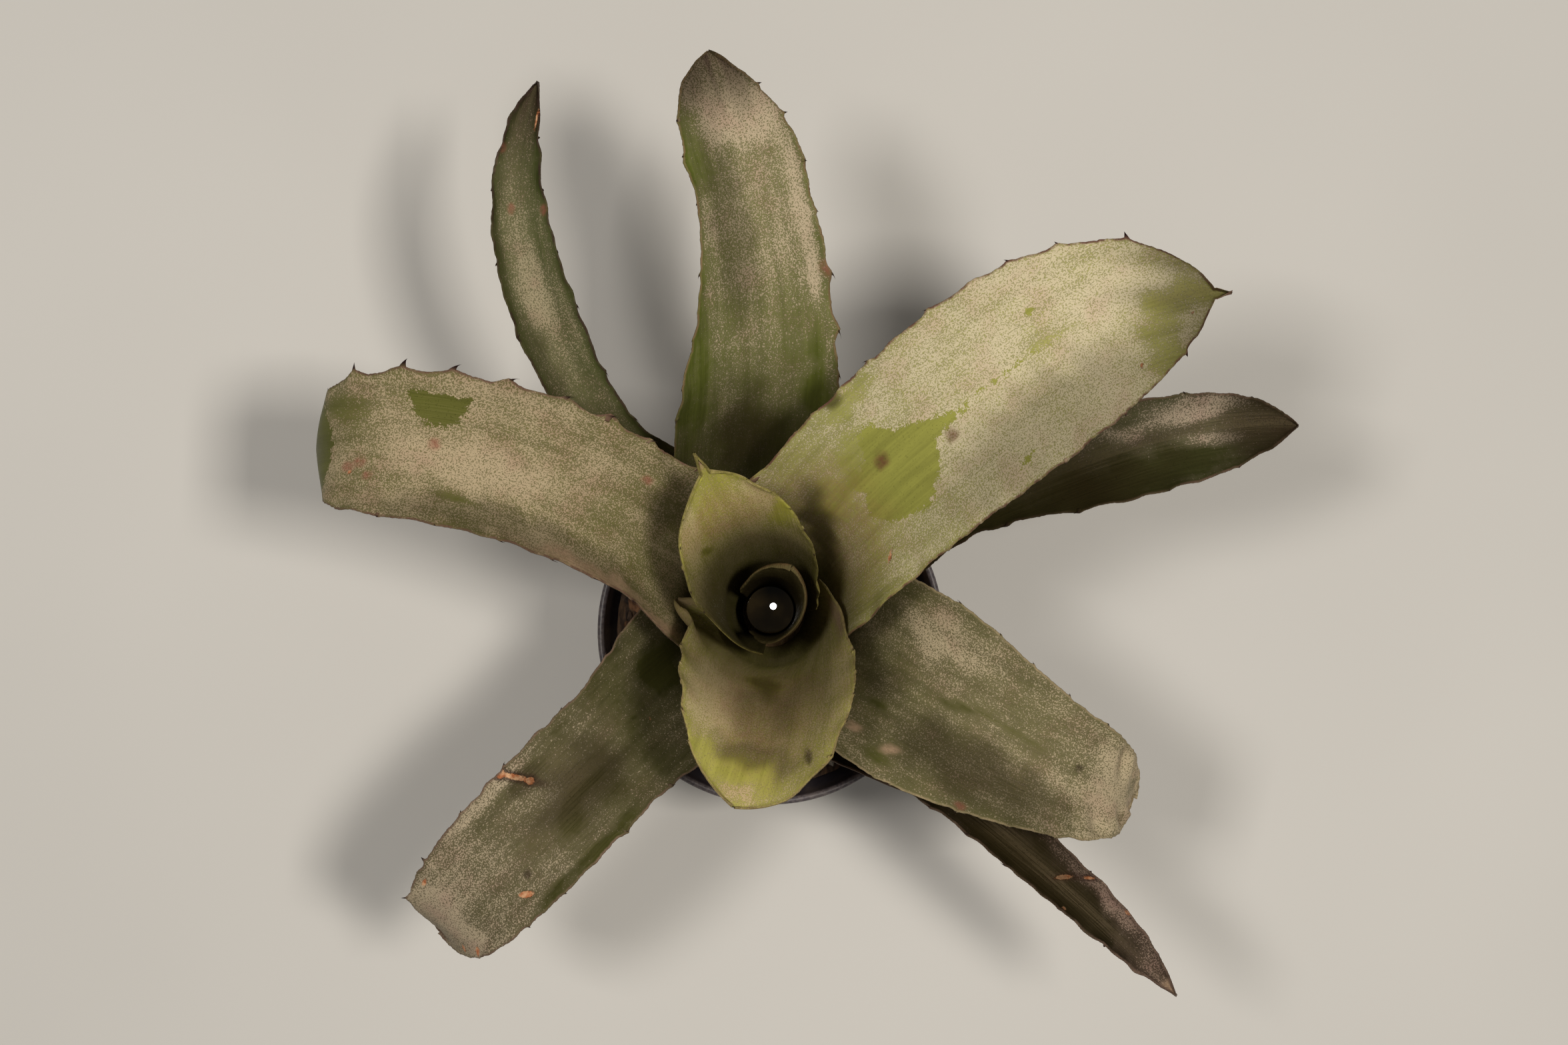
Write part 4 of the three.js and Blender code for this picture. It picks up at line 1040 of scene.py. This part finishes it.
def make_pot():
    points, faces = turned(pot_profile(), POT_SIDES)
    pot = add_piece("pot_shell", points * MM, faces, pot_material())
    drills = []
    low = -1
    high = POT_FLOOR + 2
    for k in range(DRAIN_HOLES):
        angle = 2 * math.pi * (k + 0.5) / DRAIN_HOLES
        points, faces = turned([[0, low], [DRAIN_RADIUS, low], [DRAIN_RADIUS, high], [0, high]], 32)
        points = points + [DRAIN_CIRCLE * math.cos(angle), DRAIN_CIRCLE * math.sin(angle), 0]
        drills.append(add_piece(f"drill_{k}", points * MM, faces, pot.data.materials[0]))
        cut = pot.modifiers.new("drain", "BOOLEAN")
        cut.operation = "DIFFERENCE"
        cut.solver = "EXACT"
        cut.object = drills[-1]
    apply_modifiers(pot)
    for drill in drills:
        bpy.data.objects.remove(drill)
    pot.data.set_sharp_from_angle(angle=math.radians(40))
    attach(pot, BODY)
    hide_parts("pot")


def apply_modifiers(piece):
    """The piece keeps the mesh that its modifiers give."""
    graph = bpy.context.evaluated_depsgraph_get()
    mesh = bpy.data.meshes.new_from_object(piece.evaluated_get(graph))
    piece.modifiers.clear()
    piece.data = mesh


def soil_material(name, dark, light):
    """Damp crumbs: dark and light fibres with a rough, broken surface."""
    g = Graph(name)
    place = g.coordinates()
    crumbs = g.noise(place, 420, 5.0)
    fibres = g.noise(place, 800, 3.0, stretch=(1, 0.25, 1))
    patches = g.noise(place, 60, 3.0)
    colour = g.mix(g.ramp(fibres, 0.4, 0.65), dark, light)
    colour = g.mix(g.ramp(patches, 0.35, 0.65, 0.0, 0.6), colour, shaded(dark, 0.5))
    relief = g.math("ADD", crumbs, g.math("MULTIPLY", fibres, 0.6))
    g.set(
        Base_Color=colour,
        Roughness=g.ramp(crumbs, 0.3, 0.7, 0.7, 0.95),
        Specular_IOR_Level=0.3,
        Normal=g.bump(relief, 0.0006),
    )
    return g.material


def chip(random, size):
    """One bark chip: a flat lump with broken faces, about the origin, in millimetres."""
    polar = [math.pi * k / CHIP_BANDS for k in range(1, CHIP_BANDS)]
    profile = [[0, -1], *[[math.sin(a), -math.cos(a)] for a in polar], [0, 1]]
    points, faces = turned(profile, CHIP_SIDES, stagger=0.5)
    points = points * (1 + random.uniform(-0.25, 0.25, (len(points), 1)))
    points = points * [size, size * random.uniform(0.45, 0.8), size * random.uniform(0.25, 0.5)]
    for first, second, spread in ((1, 2, 0.5), (0, 2, 0.5), (0, 1, math.pi)):
        angle = random.uniform(-spread, spread)
        x = points[:, first].copy()
        y = points[:, second].copy()
        points[:, first] = x * math.cos(angle) - y * math.sin(angle)
        points[:, second] = x * math.sin(angle) + y * math.cos(angle)
    return points, faces


def scatter(random, count, smallest, largest):
    """Points and faces of chips spread over the soil, clear of the pot's wall and the sheaths."""
    points = []
    faces = []
    total = 0
    while len(points) < count:
        radius = CHIP_SPREAD * math.sqrt(random.uniform(0.1, 1))
        angle = random.uniform(0, 2 * math.pi)
        size = random.uniform(smallest, largest)
        x = radius * math.cos(angle)
        y = radius * math.sin(angle)
        off_centre = math.hypot(x, y - PLANT_Y + CLEARING_SHIFT)
        if radius + size > CHIP_REACH or off_centre < CLEARING_RADIUS + 0.5 * size:
            continue
        lump, lump_faces = chip(random, size)
        points.append(lump + [x, y, SOIL_LEVEL + 0.5 + random.uniform(-0.1, 0.35) * size])
        faces += [[corner + total for corner in face] for face in lump_faces]
        total += len(lump)
    return np.concatenate(points), faces


def reskin(node, material):
    """A new material on one of the part's own solids."""
    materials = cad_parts[node].data.materials
    materials.clear()
    materials.append(material)


def make_soil():
    """The filling keeps its solid, and gets a top of loose bark chips, crumbs and grit grains."""
    reskin("soil", soil_material("soil_peat", rgb(52, 38, 28), rgb(92, 70, 50)))
    kinds = [
        ("soil_bark", 330, 2.0, 4.6, soil_material("bark", rgb(70, 46, 32), rgb(128, 92, 64))),
        ("soil_crumbs", 520, 0.9, 2.0, soil_material("crumb", rgb(40, 30, 24), rgb(80, 60, 44))),
        ("soil_grit", 46, 0.9, 1.9, soil_material("grit", rgb(150, 142, 128), rgb(196, 190, 178))),
    ]
    random = np.random.default_rng(CHIP_SEED)
    for name, count, smallest, largest, material in kinds:
        points, faces = scatter(random, count, smallest, largest)
        piece = add_piece(name, points * MM, faces, material, smooth_faces=False)
        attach(piece, BODY)


def make_stem():
    reskin("stem", soil_material("stem_cork", rgb(96, 74, 46), rgb(140, 114, 78)))


def water_material():
    """Still, clear water over the dark foot of the tank."""
    g = Graph("tank_water")
    place = g.coordinates()
    colour = g.mix(g.ramp(g.noise(place, 160, 2.0), 0.35, 0.65), rgb(28, 21, 9), rgb(42, 33, 16))
    g.set(Base_Color=colour, Roughness=0.0, Specular_IOR_Level=0.4, IOR=1.33)
    return g.material


def make_water():
    """The water stands level in the leaning tube."""
    foot = CROWN_TOP + 0.9
    radius, foot_radius = [sheath_radius(0, up) - SHEATH_THICK / 2 - WATER_GAP
                           for up in (WATER_LEVEL, foot)]
    profile = [[0, foot], [foot_radius - 0.6, foot], [foot_radius, foot + 0.6]]
    profile += [[share * radius, WATER_LEVEL] for share in (1, 0.99, 0.7, 0.4, 0)]
    points, faces = turned(profile, WATER_SIDES)
    top = points[:, 2] > WATER_LEVEL - 1
    points[top, 2] -= points[top, 1] * math.tan(PLANT_LEAN)
    water = add_piece("tank_water", to_row_frame(points), faces, water_material())
    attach(water, BODY)
    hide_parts("cup_water")


def make_camera():
    data = bpy.data.cameras.new("camera")
    data.lens = LENS
    data.sensor_width = SENSOR
    camera = add_object("camera", data)
    camera.location = CAMERA_PLACE
    camera.rotation_euler = (math.radians(CAMERA_TILT), 0, 0)
    bpy.context.scene.camera = camera


def add_light(name, place, target, size, power, colour, shape="SQUARE"):
    data = bpy.data.lights.new(name, "AREA")
    data.shape = shape
    data.size = size
    data.energy = power
    data.color = colour
    light = add_object(name, data)
    light.location = place
    aim = np.array(target) - np.array(place)
    yaw = math.atan2(-aim[0], aim[1])
    pitch = math.atan2(math.hypot(aim[0], aim[1]), -aim[2])
    light.rotation_euler = (pitch, 0, yaw)


def make_studio():
    """Two soft lamps, and a small one that the water mirrors as the glint."""
    scene = bpy.context.scene
    scene.view_settings.view_transform = "Standard"
    scene.world = bpy.data.worlds.new("studio")
    scene.world.use_nodes = True
    background = scene.world.node_tree.nodes["Background"]
    background.inputs["Color"].default_value = WORLD_COLOUR
    background.inputs["Strength"].default_value = WORLD_STRENGTH
    add_light("key", **KEY_LAMP)
    add_light("fill", **FILL_LAMP)
    water = to_row_frame(np.array([[0, 0, WATER_LEVEL]]))[0]
    mirrored = 2 * water - np.array(CAMERA_PLACE)
    place = (mirrored[0] + GLINT_SHIFT[0], mirrored[1] + GLINT_SHIFT[1], CAMERA_PLACE[2])
    add_light("glint", place, water, GLINT_SIZE, GLINT_POWER, (1, 1, 1), "DISK")


def make_floor():
    g = Graph("studio_floor")
    cloud = g.noise(g.coordinates(), 3, 3.0)
    colour = g.mix(g.ramp(cloud, 0.3, 0.7), rgb(216, 213, 208), rgb(222, 219, 214))
    g.set(Base_Color=colour, Roughness=0.9, Specular_IOR_Level=0.2)
    points = np.array([[-1, -1, 0], [1, -1, 0], [1, 1, 0], [-1, 1, 0]]) * FLOOR_REACH
    add_piece("studio_floor", points, [[0, 1, 2, 3]], g.material)


make_camera()
make_studio()
make_floor()
make_pot()
make_soil()
make_stem()
make_water()
for order, (row, look, marks) in enumerate(zip(LEAVES, LOOKS, MARKS)):
    make_leaf(row, look, marks, order)
